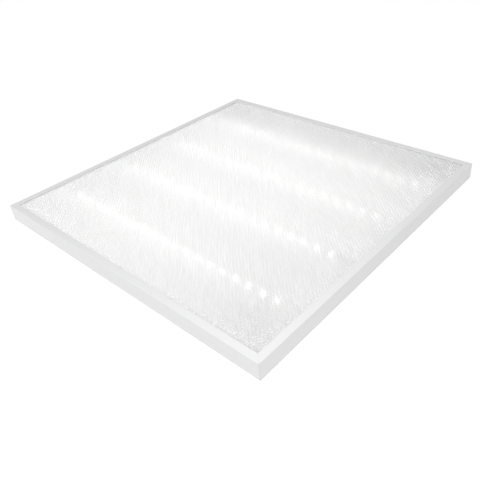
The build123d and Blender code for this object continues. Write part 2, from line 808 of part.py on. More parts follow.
# Parts on the driver's circuit board, from the supply end at -X to the lamp end at +X
socket_length = 10.0
socket_width = 16.0
socket_center = circuit_half_length - socket_length / 2
with BuildPart() as driver_input_terminal:
    with BuildSketch(Plane.XY.offset(circuit_top)):
        with Locations((-socket_center, driver_center_y)):
            Rectangle(socket_length, socket_width)
    extrude(amount=component_height)
    chamfer(
        driver_input_terminal.faces().sort_by(Axis.Z)[-1].edges().filter_by(Axis.Y).sort_by(Axis.X)[0],
        length=component_height / 4,
    )
driver_input_terminal.part.label = "driver_input_terminal"
export_step(driver_input_terminal.part, "parts/driver_input_terminal.step")

with BuildPart() as driver_output_terminal:
    with BuildSketch(Plane.XY.offset(circuit_top)):
        with Locations((socket_center, driver_center_y)):
            Rectangle(socket_length, socket_width)
    extrude(amount=component_height)
    chamfer(
        driver_output_terminal.faces().sort_by(Axis.Z)[-1].edges().filter_by(Axis.Y).sort_by(Axis.X)[-1],
        length=component_height / 4,
    )
driver_output_terminal.part.label = "driver_output_terminal"
export_step(driver_output_terminal.part, "parts/driver_output_terminal.step")

choke_inset = 34.0
choke_x = choke_inset - circuit_half_length
choke_radius = 7.0
choke_hole_radius = 2.5
with BuildPart() as driver_choke:
    with BuildSketch(Plane.XY.offset(circuit_top)):
        with Locations((choke_x, driver_center_y)):
            RegularPolygon(choke_radius, round_facets)
            RegularPolygon(choke_hole_radius, round_facets, mode=Mode.SUBTRACT)
    extrude(amount=component_height)
driver_choke.part.label = "driver_choke"
export_step(driver_choke.part, "parts/driver_choke.step")

capacitor_inset = 74.0
capacitor_x = capacitor_inset - circuit_half_length
capacitor_length = 18.0
capacitor_width = 8.0
capacitor_spacing = 11.0
with BuildPart() as driver_capacitors:
    with BuildSketch(Plane.XY.offset(circuit_top)):
        with Locations((capacitor_x, driver_center_y)):
            with GridLocations(1, capacitor_spacing, 1, 2):
                Rectangle(capacitor_length, capacitor_width)
    extrude(amount=component_height)
driver_capacitors.part.label = "driver_capacitors"
export_step(driver_capacitors.part, "parts/driver_capacitors.step")

transformer_inset = 68.0
transformer_x = circuit_half_length - transformer_inset
transformer_length = 20.0
transformer_width = 22.0
winding_length = 12.0
winding_width = 28.0
with BuildPart() as driver_transformer:
    with BuildSketch(Plane.XY.offset(circuit_top)):
        with Locations((transformer_x, driver_center_y)):
            Rectangle(transformer_length, transformer_width)
            RectangleRounded(winding_length, winding_width, winding_length / 3)
    extrude(amount=component_height)
driver_transformer.part.label = "driver_transformer"
export_step(driver_transformer.part, "parts/driver_transformer.step")

# Feed wires: from the driver along the back, up through the tray grommet and back to the feed connector
feed_bend = 0.45 * (connector_level - wire_level)
driver_socket_face = circuit_half_length
feed_wires = [
    wire(
        [
            (driver_socket_face, driver_y, wire_level),
            (feed_x, board_y, wire_level),
            (feed_x, board_y, connector_level),
            (connector_outer, board_y, connector_level),
        ],
        feed_bend,
        wire_radius,
    )
    for driver_y, board_y in zip(
        driver_wire_places, [feed_row + wire_pair_pitch * side / 2 for side in (-1, 1)]
    )
]
feed_wire_positive, feed_wire_negative = feed_wires
feed_wire_positive.part.label = "feed_wire_positive"
export_step(feed_wire_positive.part, "parts/feed_wire_positive.step")

feed_wire_negative.part.label = "feed_wire_negative"
export_step(feed_wire_negative.part, "parts/feed_wire_negative.step")

# Wiring pocket: flange on the back plate, walls and ceiling over it, guides that reach through the window to
# hold the lid, and bosses for the strain relief bar
with BuildPart() as terminal_box:
    with BuildSketch(Plane.XY.offset(plate_top)):
        with Locations((pocket_center_x, pocket_center_y)):
            RectangleRounded(pocket_length + 2 * pocket_flange, pocket_width, pocket_wall)
    extrude(amount=pocket_flange_thickness)
    with BuildSketch(Plane.XY.offset(pocket_flange_top)):
        with Locations((pocket_center_x, pocket_center_y)):
            RectangleRounded(pocket_length, pocket_width, pocket_wall)
    extrude(amount=pocket_top - pocket_flange_top)
    with BuildSketch(Plane.XY.offset(pocket_flange_top)):
        with Locations((pocket_center_x, pocket_center_y)):
            Rectangle(pocket_length - 2 * pocket_wall, pocket_width - 2 * pocket_wall)
    extrude(amount=pocket_ceiling - pocket_flange_top, mode=Mode.SUBTRACT)
    with BuildSketch(Plane.XY.offset(plate_top)):
        with Locations((lid_x, pocket_center_y)):
            Rectangle(2 * guide_inner, lid_width)
        with Locations((cable_x, pocket_center_y)):
            RegularPolygon(grommet_collar_radius + window_gap, round_facets)
        with Locations((pocket_center_x, pocket_center_y)):
            with GridLocations(pocket_rivet_spacing_x, pocket_rivet_spacing_y, 2, 2):
                RegularPolygon(pocket_rivet_radius + screw_clearance, shank_facets)
    extrude(amount=pocket_flange_thickness, mode=Mode.SUBTRACT)
    with BuildSketch(Plane.XY.offset(plate_top)):
        with Locations((lid_x, pocket_center_y)):
            with GridLocations(guide_inner + guide_outer, 1, 2, 1):
                Rectangle(guide_thickness, lid_width)
    extrude(amount=lid_bottom - lid_gap - guide_lip - plate_top)
    with BuildSketch(Plane.XY.offset(lid_bottom - lid_gap)):
        with Locations((lid_x, pocket_center_y)):
            Rectangle(2 * (guide_inner + lid_grip + lid_gap), lid_width)
    extrude(amount=lid_thickness + 2 * lid_gap, mode=Mode.SUBTRACT)
    with BuildSketch(Plane.XY.offset(clamp_top)):
        with Locations((clamp_x, pocket_center_y)):
            with GridLocations(1, clamp_screw_spacing, 1, 2):
                RegularPolygon(clamp_boss_radius, head_facets)
    extrude(amount=pocket_ceiling - clamp_top)
    with BuildSketch(Plane.XY.offset(clamp_top)):
        with Locations((clamp_x, pocket_center_y)):
            with GridLocations(1, clamp_screw_spacing, 1, 2):
                RegularPolygon(clamp_screw_radius + tip_gap, shank_facets)
    extrude(amount=pocket_ceiling - clamp_top, mode=Mode.SUBTRACT)
    with BuildSketch(Plane.YZ.offset(pocket_center_x - pocket_length / 2)):
        with Locations(*[(y, wire_level) for y in pole_places]):
            RegularPolygon(supply_wire_radius + wire_hole_gap, wire_facets, major_radius=False)
    extrude(amount=pocket_wall, mode=Mode.SUBTRACT)
terminal_box.part.label = "terminal_box"
export_step(terminal_box.part, "parts/terminal_box.step")

pocket_rivet = pan_screw(
    pocket_rivet_head_radius,
    pocket_rivet_head_height,
    pocket_rivet_radius,
    back_thickness + pocket_flange_thickness + pocket_rivet_radius,
)
with BuildPart() as terminal_box_rivets:
    with Locations((pocket_center_x, pocket_center_y, back_recess)):
        with GridLocations(pocket_rivet_spacing_x, pocket_rivet_spacing_y, 2, 2):
            add(pocket_rivet)
terminal_box_rivets.part.label = "terminal_box_rivets"
export_step(terminal_box_rivets.part, "parts/terminal_box_rivets.step")

# Lid of the pocket, with finger ridges at the end that is pushed
first_ridge = pocket_center_y + lid_width / 2 - lid_ridge_pitch
ridge_places = [(lid_x, first_ridge - lid_ridge_pitch * ridge) for ridge in range(lid_ridge_count)]
with BuildPart() as terminal_lid:
    with BuildSketch(Plane.XY.offset(lid_bottom)):
        with Locations((lid_x, pocket_center_y)):
            Rectangle(lid_length, lid_width)
    extrude(amount=lid_thickness)
    with BuildSketch(Plane.XY.offset(lid_bottom)):
        with Locations(*ridge_places):
            Rectangle(guide_inner, lid_ridge_width)
    extrude(amount=-lid_ridge_height)
terminal_lid.part.label = "terminal_lid"
export_step(terminal_lid.part, "parts/terminal_lid.step")

# Terminal block, hung from the pocket's ceiling: three poles with a wire entry towards the cable, a release
# button facing out and a hole for the inner wire
terminal_half = terminal_length / 2
terminal_slope = 3.0
inner_wire_seat = 3.0
button_x = terminal_x + button_offset_x
with BuildPart() as terminal_block:
    with BuildSketch(Plane.XZ.offset(-pocket_center_y)):
        with BuildLine():
            Polyline(
                (terminal_x - terminal_half, pocket_ceiling),
                (terminal_x - terminal_half, terminal_bottom),
                (terminal_x + terminal_half - terminal_slope, terminal_bottom),
                (terminal_x + terminal_half, terminal_bottom + terminal_slope),
                (terminal_x + terminal_half, pocket_ceiling),
                close=True,
            )
        make_face()
    extrude(amount=terminal_width / 2, both=True)
    with BuildSketch(Plane.YZ.offset(terminal_x + terminal_half)):
        with Locations(*[(y, wire_level) for y in pole_places]):
            RegularPolygon(pole_entry_radius, shank_facets)
    extrude(amount=-pole_entry_depth, mode=Mode.SUBTRACT)
    with BuildSketch(Plane.XY.offset(terminal_bottom)):
        with Locations(*[(button_x, y) for y in pole_places]):
            Rectangle(button_side + 2 * button_gap, button_side + 2 * button_gap)
    extrude(amount=button_height - button_proud + button_travel + button_gap, mode=Mode.SUBTRACT)
    with BuildSketch(Plane.YZ.offset(terminal_x - terminal_half)):
        with Locations(*[(y, wire_level) for y in pole_places]):
            RegularPolygon(supply_wire_radius + wire_hole_gap, wire_facets, major_radius=False)
    extrude(amount=inner_wire_seat, mode=Mode.SUBTRACT)
terminal_block.part.label = "terminal_block"
export_step(terminal_block.part, "parts/terminal_block.step")

for pole_name, pole_y in zip(("earth", "neutral", "live"), pole_places):
    with BuildPart() as release_button:
        with BuildSketch(Plane.XY.offset(button_bottom)):
            with Locations((button_x, pole_y)):
                Rectangle(button_side, button_side)
        extrude(amount=button_height)
        chamfer(release_button.faces().sort_by(Axis.Z)[0].edges(), length=button_proud / 2)
    release_button.part.label = f"release_button_{pole_name}"
    export_step(release_button.part, f"parts/release_button_{pole_name}.step")

# Strain relief bar, arched over the cable, and its screws
arch_radius = 8.0
arch_level = clamp_top + arch_radius - clamp_thickness / 2
with BuildPart() as cord_clamp:
    with BuildSketch(Plane.XY.offset(clamp_bottom)):
        with Locations((clamp_x, pocket_center_y)):
            RectangleRounded(clamp_length, clamp_width, clamp_length / 4)
            with GridLocations(1, clamp_screw_spacing, 1, 2):
                RegularPolygon(clamp_screw_radius + screw_clearance, shank_facets, mode=Mode.SUBTRACT)
    extrude(amount=clamp_thickness)
    with BuildSketch(Plane.YZ.offset(clamp_x)):
        with Locations((pocket_center_y, arch_level)):
            Circle(arch_radius)
    extrude(amount=clamp_length / 2, both=True, mode=Mode.SUBTRACT)
cord_clamp.part.label = "cord_clamp"
export_step(cord_clamp.part, "parts/cord_clamp.step")

clamp_screw = pan_screw(
    clamp_screw_head_radius,
    clamp_screw_head_height,
    clamp_screw_radius,
    clamp_thickness + pocket_ceiling - clamp_top - tip_gap,
)
with BuildPart() as cord_clamp_screws:
    with Locations((clamp_x, pocket_center_y, clamp_bottom)):
        with GridLocations(1, clamp_screw_spacing, 1, 2):
            add(clamp_screw)
cord_clamp_screws.part.label = "cord_clamp_screws"
export_step(cord_clamp_screws.part, "parts/cord_clamp_screws.step")

# Grommet of the supply cable: a collar on each side of the back plate, a neck between them and a round bore
grommet_bottom = back_recess - grommet_gap - grommet_lower_collar
grommet_top = plate_top + grommet_upper_collar
with BuildPart() as cable_grommet:
    with BuildSketch(Plane.XY.offset(grommet_bottom)):
        with Locations((cable_x, pocket_center_y)):
            RegularPolygon(grommet_collar_radius, round_facets)
    extrude(amount=grommet_lower_collar)
    with BuildSketch(Plane.XY.offset(plate_top + grommet_gap)):
        with Locations((cable_x, pocket_center_y)):
            RegularPolygon(grommet_collar_radius, round_facets)
    extrude(amount=grommet_upper_collar - grommet_gap)
    chamfer(cable_grommet.faces().sort_by(Axis.Z)[0].edges(), length=grommet_lower_collar / 2)
    chamfer(cable_grommet.faces().sort_by(Axis.Z)[-1].edges(), length=grommet_upper_collar / 2)
    with BuildSketch(Plane.XY.offset(grommet_bottom)):
        with Locations((cable_x, pocket_center_y)):
            RegularPolygon(grommet_neck_radius, round_facets)
    extrude(amount=grommet_top - grommet_bottom)
    with BuildSketch(Plane.XY.offset(grommet_bottom)):
        with Locations((cable_x, pocket_center_y)):
            Circle(cable_bore_radius)
    extrude(amount=grommet_top - grommet_bottom, mode=Mode.SUBTRACT)
cable_grommet.part.label = "cable_grommet"
export_step(cable_grommet.part, "parts/cable_grommet.step")

# Inner supply wires: live and neutral from the terminal block round to the driver, earth to the back plate
wire_seat_x = terminal_x - terminal_half + inner_wire_seat
supply_turn_x = -driver_half - supply_reach
supply_wire_live = wire(
    [
        (wire_seat_x, pole_places[2], wire_level),
        (supply_turn_x, pole_places[2], wire_level),
        (supply_turn_x, supply_wire_places[0], wire_level),
        (-circuit_half_length, supply_wire_places[0], wire_level),
    ],
    supply_bend,
    supply_wire_radius,
)
supply_wire_live.part.label = "supply_wire_live"
export_step(supply_wire_live.part, "parts/supply_wire_live.step")

supply_wire_neutral = wire(
    [
        (wire_seat_x, pole_places[1], wire_level),
        (supply_turn_x + supply_wire_step, pole_places[1], wire_level),
        (supply_turn_x + supply_wire_step, supply_wire_places[1], wire_level),
        (-circuit_half_length, supply_wire_places[1], wire_level),
    ],
    supply_bend,
    supply_wire_radius,
)
supply_wire_neutral.part.label = "supply_wire_neutral"
export_step(supply_wire_neutral.part, "parts/supply_wire_neutral.step")

earth_barrel_level = plate_top + earth_barrel_radius + tip_gap
earth_barrel_start = earth_tag_radius + earth_screw_radius
earth_barrel_end = earth_y + earth_barrel_start + earth_barrel_length
earth_run = 10.0
earth_wire = wire(
    [
        (wire_seat_x, pole_places[0], wire_level),
        (earth_x, pole_places[0], wire_level),
        (earth_x, earth_barrel_end + earth_run, earth_barrel_level),
        (earth_x, earth_barrel_end, earth_barrel_level),
    ],
    earth_bend,
    supply_wire_radius,
)
earth_wire.part.label = "earth_wire"
export_step(earth_wire.part, "parts/earth_wire.step")

# Earth tag: a flat ring with a neck and a crimp barrel, held by the earth screw
with BuildPart() as earth_tag:
    with BuildSketch(Plane.XY.offset(plate_top)):
        with Locations((earth_x, earth_y)):
            RegularPolygon(earth_tag_radius, round_facets)
        with Locations((earth_x, earth_y + earth_tag_radius)):
            Rectangle(2 * earth_barrel_radius, 2 * earth_tag_radius)
        with Locations((earth_x, earth_y)):
            RegularPolygon(earth_screw_radius + screw_clearance, shank_facets, mode=Mode.SUBTRACT)
    extrude(amount=earth_tag_thickness)
    with BuildSketch(Plane.XZ.offset(-(earth_y + earth_barrel_start))):
        with Locations((earth_x, earth_barrel_level)):
            Circle(earth_barrel_radius)
    extrude(amount=-earth_barrel_length)
earth_tag.part.label = "earth_tag"
export_step(earth_tag.part, "parts/earth_tag.step")

earth_pan = pan_screw(
    earth_screw_head_radius,
    earth_screw_head_height,
    earth_screw_radius,
    earth_tag_thickness + back_thickness + earth_screw_radius / 2,
)
with BuildPart() as earth_screw:
    with Locations(Location((earth_x, earth_y, plate_top + earth_tag_thickness), (180, 0, 0))):
        add(earth_pan)
earth_screw.part.label = "earth_screw"
export_step(earth_screw.part, "parts/earth_screw.step")

# Clips that hold the wire pairs above the back plate: a block with a hole for each wire
supply_clip_x = supply_turn_x + supply_wire_step / 2
feed_clip_places = [driver_half + clip_run_inset, feed_x - clip_run_inset]
clip_height = wire_level + supply_wire_radius + clip_cap - plate_top
with BuildPart() as wire_clips:
    with BuildSketch(Plane.XY.offset(plate_top)):
        with Locations((supply_clip_x, 0)):
            Rectangle(supply_wire_step + 2 * (supply_wire_radius + clip_side_wall), clip_width)
        with Locations(*[(x, feed_row) for x in feed_clip_places]):
            Rectangle(clip_width, wire_pair_pitch + 2 * (supply_wire_radius + clip_side_wall))
    extrude(amount=clip_height)
    with BuildSketch(Plane.XZ.offset(-clip_width / 2)):
        with Locations((supply_clip_x, wire_level)):
            with GridLocations(supply_wire_step, 1, 2, 1):
                RegularPolygon(supply_wire_radius + wire_grip_gap, wire_facets, major_radius=False)
    extrude(amount=clip_width, mode=Mode.SUBTRACT)
    for clip_x in feed_clip_places:
        with BuildSketch(Plane.YZ.offset(clip_x - clip_width / 2)):
            with Locations((feed_row, wire_level)):
                with GridLocations(wire_pair_pitch, 1, 2, 1):
                    RegularPolygon(wire_radius + wire_grip_gap, wire_facets, major_radius=False)
        extrude(amount=clip_width, mode=Mode.SUBTRACT)
wire_clips.part.label = "wire_clips"
export_step(wire_clips.part, "parts/wire_clips.step")
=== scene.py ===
# %% [markdown]
# # A square surface panel light, face up
# The panel is a slim white box: four mitred rails hold a prismatic plate, and four rows of small lamps
# shine behind it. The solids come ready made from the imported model. This notebook gives them finishes, swaps
# the plain diffuser for one with real prisms, swaps the plain screws and wires for rounder ones, and sets up
# the camera, the floor and the light.

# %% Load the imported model
import json
import math
import bpy
import numpy as np
from mathutils import Matrix


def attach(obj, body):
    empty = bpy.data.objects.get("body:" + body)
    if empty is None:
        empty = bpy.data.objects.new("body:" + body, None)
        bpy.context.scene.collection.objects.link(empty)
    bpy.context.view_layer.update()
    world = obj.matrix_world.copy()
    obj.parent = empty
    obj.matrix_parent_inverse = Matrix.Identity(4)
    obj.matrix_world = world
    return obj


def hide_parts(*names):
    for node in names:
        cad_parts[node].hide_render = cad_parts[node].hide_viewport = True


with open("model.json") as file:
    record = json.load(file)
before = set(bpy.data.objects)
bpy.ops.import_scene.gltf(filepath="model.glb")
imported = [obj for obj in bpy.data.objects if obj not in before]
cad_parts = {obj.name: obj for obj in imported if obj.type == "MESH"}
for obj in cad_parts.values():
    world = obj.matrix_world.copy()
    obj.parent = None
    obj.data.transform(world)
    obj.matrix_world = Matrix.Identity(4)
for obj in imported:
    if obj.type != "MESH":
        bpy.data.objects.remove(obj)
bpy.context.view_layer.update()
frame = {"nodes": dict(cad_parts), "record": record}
nodes = frame["nodes"]

# %% [markdown]
# ## The camera comes first
# The photo was taken from above one corner. Eight outer corners of the panel were matched to it, which gave
# the direction, the roll, the distance and the focal length in pixels of a 480 by 480 picture. A small lens
# shift puts the view's centre where the photo has it. Building the camera's axes by hand keeps every number
# in sight.

# %% Camera
photo_side = 480
focal_pixels = 532.32
centre_pixel = (270.0, 230.0)
azimuth, elevation, roll = np.radians([42.78, 35.10, -4.08])
distance, slide_right, slide_up = 0.98195, 0.04497, -0.05874

back = np.array([
    math.sin(azimuth) * math.cos(elevation),
    -math.cos(azimuth) * math.cos(elevation),
    math.sin(elevation),
])
level_right = np.cross([0.0, 0.0, 1.0], back)
level_right /= np.linalg.norm(level_right)
level_up = np.cross(back, level_right)
right = math.cos(roll) * level_right + math.sin(roll) * level_up
up = -math.sin(roll) * level_right + math.cos(roll) * level_up
eye = back * distance + right * slide_right + up * slide_up

camera_data = bpy.data.cameras.new("photo_camera")
camera_data.sensor_width = 36.0
camera_data.lens = focal_pixels / photo_side * camera_data.sensor_width
camera_data.shift_x = (photo_side / 2 - centre_pixel[0]) / photo_side
camera_data.shift_y = (centre_pixel[1] - photo_side / 2) / photo_side
camera = bpy.data.objects.new("photo_camera", camera_data)
camera.matrix_world = Matrix([
    [right[0], up[0], back[0], eye[0]],
    [right[1], up[1], back[1], eye[1]],
    [right[2], up[2], back[2], eye[2]],
    [0.0, 0.0, 0.0, 1.0],
])
bpy.context.scene.collection.objects.link(camera)
bpy.context.scene.camera = camera
bpy.context.scene.view_settings.view_transform = "Standard"
print("camera at", np.round(eye, 3), "lens", round(camera_data.lens, 1), "mm")

# %% [markdown]
# ## Sizes that the new pieces share with the solids
# The new pieces have to sit exactly where the solids are. Their sizes could be read from the solids' meshes,
# but a reader would not see them then, so the few that are needed are written once here. A lamp row is a line
# of packages at an even pitch, and the rows lie evenly over the face. The side and the two margins are in
# millimetres, the rest in metres.

# %% Shared sizes
mm = 0.001
panel_side, row_margin, lamp_margin = 595.0, 106.0, 60.4
row_count, lamp_count = 4, 19
half_side = panel_side / 2 * mm
lip_width = 12.0 * mm
diffuser_low, diffuser_high = 26.4 * mm, 28.4 * mm
diffuser_half = 295.3 * mm
board_half = 252.0 * mm
plate_top = 3.2 * mm
row_span = panel_side - 2 * row_margin
row_places = (row_margin - panel_side / 2 + np.arange(row_count) * row_span / (row_count - 1)) * mm
led_pitch = (panel_side - 2 * lamp_margin) / (lamp_count - 1) * mm
led_places = (np.arange(lamp_count) - (lamp_count - 1) / 2) * led_pitch
print("rows at", np.round(row_places / mm, 1), "lamp pitch", round(led_pitch / mm, 2))

# %% [markdown]
# ## Shared effects: a fine finish and drawn metal
# Powder coat, moulded plastic, rubber and film all show the same three things at different strengths: a fine
# grain that catches the light, a slow drift in tone, and a roughness that is not quite even. Each material
# could have its own copy of these nodes, but one node group holds them instead, and each material gives it
# its own values. Metal sheet and screws show fine lines along one direction, so they get a second group with
# noise stretched along X.

# %% Group helpers
def feed(tree, value, socket):
    """Gives an input its value: another node's output is linked, a number or a colour is written in."""
    if isinstance(value, bpy.types.NodeSocket):
        tree.links.new(value, socket)
    else:
        socket.default_value = value


def new_group(name, inputs, outputs):
    """A shader node group with named sockets. inputs and outputs hold (name, socket type, default)."""
    group = bpy.data.node_groups.new(name, "ShaderNodeTree")
    for label, kind, value in inputs:
        socket = group.interface.new_socket(name=label, in_out="INPUT", socket_type=kind)
        if value is not None:
            socket.default_value = value
    for label, kind, _ in outputs:
        group.interface.new_socket(name=label, in_out="OUTPUT", socket_type=kind)
    entry = group.nodes.new("NodeGroupInput")
    leave = group.nodes.new("NodeGroupOutput")
    return group, entry, leave


def use_group(tree, group, values):
    """Places a node group. values gives its named inputs a number, a colour or an output each."""
    node = tree.nodes.new("ShaderNodeGroup")
    node.node_tree = group
    for label, value in values.items():
        feed(tree, value, node.inputs[label])
    return node


print("helpers:", feed.__name__, new_group.__name__, use_group.__name__)


# %% Node helpers
def maths(tree, operation, *operands, clamp=False):
    """Adds a Math node. Each operand is a number or an output socket; the result socket comes back."""
    node = tree.nodes.new("ShaderNodeMath")
    node.operation = operation
    node.use_clamp = clamp
    for operand, socket in zip(operands, node.inputs):
        feed(tree, operand, socket)
    return node.outputs[0]


def noise(tree, vector, scale, detail=2.0):
    """Adds a Noise Texture on a vector. scale is a number or a socket; the value socket comes back."""
    node = tree.nodes.new("ShaderNodeTexNoise")
    node.inputs["Detail"].default_value = detail
    feed(tree, vector, node.inputs["Vector"])
    feed(tree, scale, node.inputs["Scale"])
    return node.outputs[0]


def shade_colour(tree, colour, factor):
    """Multiplies a colour by a number: a Vector Math node scales red, green and blue alike."""
    node = tree.nodes.new("ShaderNodeVectorMath")
    node.operation = "SCALE"
    feed(tree, colour, node.inputs[0])
    feed(tree, factor, node.inputs["Scale"])
    return node.outputs[0]


print("helpers:", maths.__name__, noise.__name__, shade_colour.__name__)

# %% Group: fine finish
float_socket, colour_socket, vector_socket = "NodeSocketFloat", "NodeSocketColor", "NodeSocketVector"
finish_outputs = [
    ("Colour", colour_socket, None),
    ("Roughness", float_socket, None),
    ("Height", float_socket, None),
]
cloud_scale, patch_scale = 14.0, 160.0
fine_finish, entry, leave = new_group(
    "fine_finish",
    [
        ("Vector", vector_socket, None),
        ("Colour", colour_socket, (0.8, 0.8, 0.8, 1.0)),
        ("Tone Drift", float_socket, 0.03),
        ("Grain Scale", float_socket, 1500.0),
        ("Roughness", float_socket, 0.5),
        ("Roughness Drift", float_socket, 0.1),
    ],
    finish_outputs,
)
slow = noise(fine_finish, entry.outputs["Vector"], cloud_scale, 3.0)
middle = noise(fine_finish, entry.outputs["Vector"], patch_scale)
grain = noise(fine_finish, entry.outputs["Vector"], entry.outputs["Grain Scale"], 1.0)
drift = maths(fine_finish, "MULTIPLY_ADD", middle, 0.3, maths(fine_finish, "MULTIPLY", slow, 0.7))
centred = maths(fine_finish, "SUBTRACT", drift, 0.5)
factor = maths(fine_finish, "MULTIPLY_ADD", centred, entry.outputs["Tone Drift"], 1.0)
uneven = maths(fine_finish, "MULTIPLY", centred, entry.outputs["Roughness Drift"])
rough = maths(fine_finish, "ADD", uneven, entry.outputs["Roughness"])
height = maths(fine_finish, "MULTIPLY_ADD", grain, 0.8, maths(fine_finish, "MULTIPLY", middle, 0.2))
feed(fine_finish, shade_colour(fine_finish, entry.outputs["Colour"], factor), leave.inputs["Colour"])
feed(fine_finish, rough, leave.inputs["Roughness"])
feed(fine_finish, height, leave.inputs["Height"])
print("group", fine_finish.name, len(fine_finish.nodes), "nodes")

# %% Group: drawn metal
line_stretch = (0.03, 1.0, 1.0)
tarnish_scale = 45.0
drawn_metal, entry, leave = new_group(
    "drawn_metal",
    [
        ("Vector", vector_socket, None),
        ("Colour", colour_socket, (0.7, 0.7, 0.7, 1.0)),
        ("Line Scale", float_socket, 900.0),
        ("Line Depth", float_socket, 0.12),
        ("Roughness", float_socket, 0.35),
    ],
    finish_outputs,
)
stretch = drawn_metal.nodes.new("ShaderNodeMapping")
stretch.inputs["Scale"].default_value = line_stretch
feed(drawn_metal, entry.outputs["Vector"], stretch.inputs["Vector"])
lines = noise(drawn_metal, stretch.outputs[0], entry.outputs["Line Scale"])
cloud = noise(drawn_metal, entry.outputs["Vector"], tarnish_scale, 3.0)
mixed = maths(drawn_metal, "MULTIPLY_ADD", lines, 0.6, maths(drawn_metal, "MULTIPLY", cloud, 0.4))
centred = maths(drawn_metal, "SUBTRACT", mixed, 0.5)
factor = maths(drawn_metal, "MULTIPLY_ADD", centred, entry.outputs["Line Depth"], 1.0)
uneven = maths(drawn_metal, "MULTIPLY_ADD", centred, 0.3, entry.outputs["Roughness"])
feed(drawn_metal, shade_colour(drawn_metal, entry.outputs["Colour"], factor), leave.inputs["Colour"])
feed(drawn_metal, uneven, leave.inputs["Roughness"])
feed(drawn_metal, lines, leave.inputs["Height"])
print("group", drawn_metal.name, len(drawn_metal.nodes), "nodes")


# %% Finish builders
metal_relief = 0.03 * mm


def new_material(name):
    """A material with a plain Principled shader; returns it, its tree, the shader and Object coordinates."""
    material = bpy.data.materials.new(name)
    material.use_nodes = True
    tree = material.node_tree
    shader = tree.nodes["Principled BSDF"]
    where = tree.nodes.new("ShaderNodeTexCoord").outputs["Object"]
    return material, tree, shader, where


def add_bump(tree, shader, height, strength, depth):
    """Feeds a height through a Bump node into the shader's normal. depth is in metres."""
    bump = tree.nodes.new("ShaderNodeBump")
    bump.inputs["Strength"].default_value = strength
    bump.inputs["Distance"].default_value = depth
    feed(tree, height, bump.inputs["Height"])
    feed(tree, bump.outputs[0], shader.inputs["Normal"])


def group_material(name, group, values, bump, depth):
    """A material whose colour, roughness and bump come from one node group with the given values."""
    material, tree, shader, where = new_material(name)
    node = use_group(tree, group, {"Vector": where, **values})
    feed(tree, node.outputs["Colour"], shader.inputs["Base Color"])
    feed(tree, node.outputs["Roughness"], shader.inputs["Roughness"])
    add_bump(tree, shader, node.outputs["Height"], bump, depth)
    return material


def fine_material(name, colour, roughness, drift, grain, bump, depth, rough_drift=0.15):
    """A coated or moulded finish."""
    values = {"Colour": (*colour, 1.0), "Tone Drift": drift, "Grain Scale": grain}
    values.update({"Roughness": roughness, "Roughness Drift": rough_drift})
    return group_material(name, fine_finish, values, bump, depth)


def metal_material(name, colour, roughness, scale, line_depth, bump):
    """A bare metal finish."""
    values = {"Colour": (*colour, 1.0), "Line Scale": scale, "Line Depth": line_depth, "Roughness": roughness}
    material = group_material(name, drawn_metal, values, bump, metal_relief)
    material.node_tree.nodes["Principled BSDF"].inputs["Metallic"].default_value = 1.0
    return material


print("builders:", fine_material.__name__, metal_material.__name__)

# %% [markdown]
# ## Finishes of the frame, the back and the small parts
# The frame and the back are powder coated: nearly white, softly glossy, with the faint orange peel of baked
# powder. Mouldings are duller and carry the fine spark texture of their tools. Screws and rivets are bright
# metal. Pictures of such surfaces could be wrapped round each solid, but noise in space needs no unwrapping
# and has no seams. Each finish is one call: colour, roughness, drift in tone, size of grain, strength and
# depth of the grain's relief. A metal's call gives colour, roughness, fineness and depth of its lines, and
# their relief.

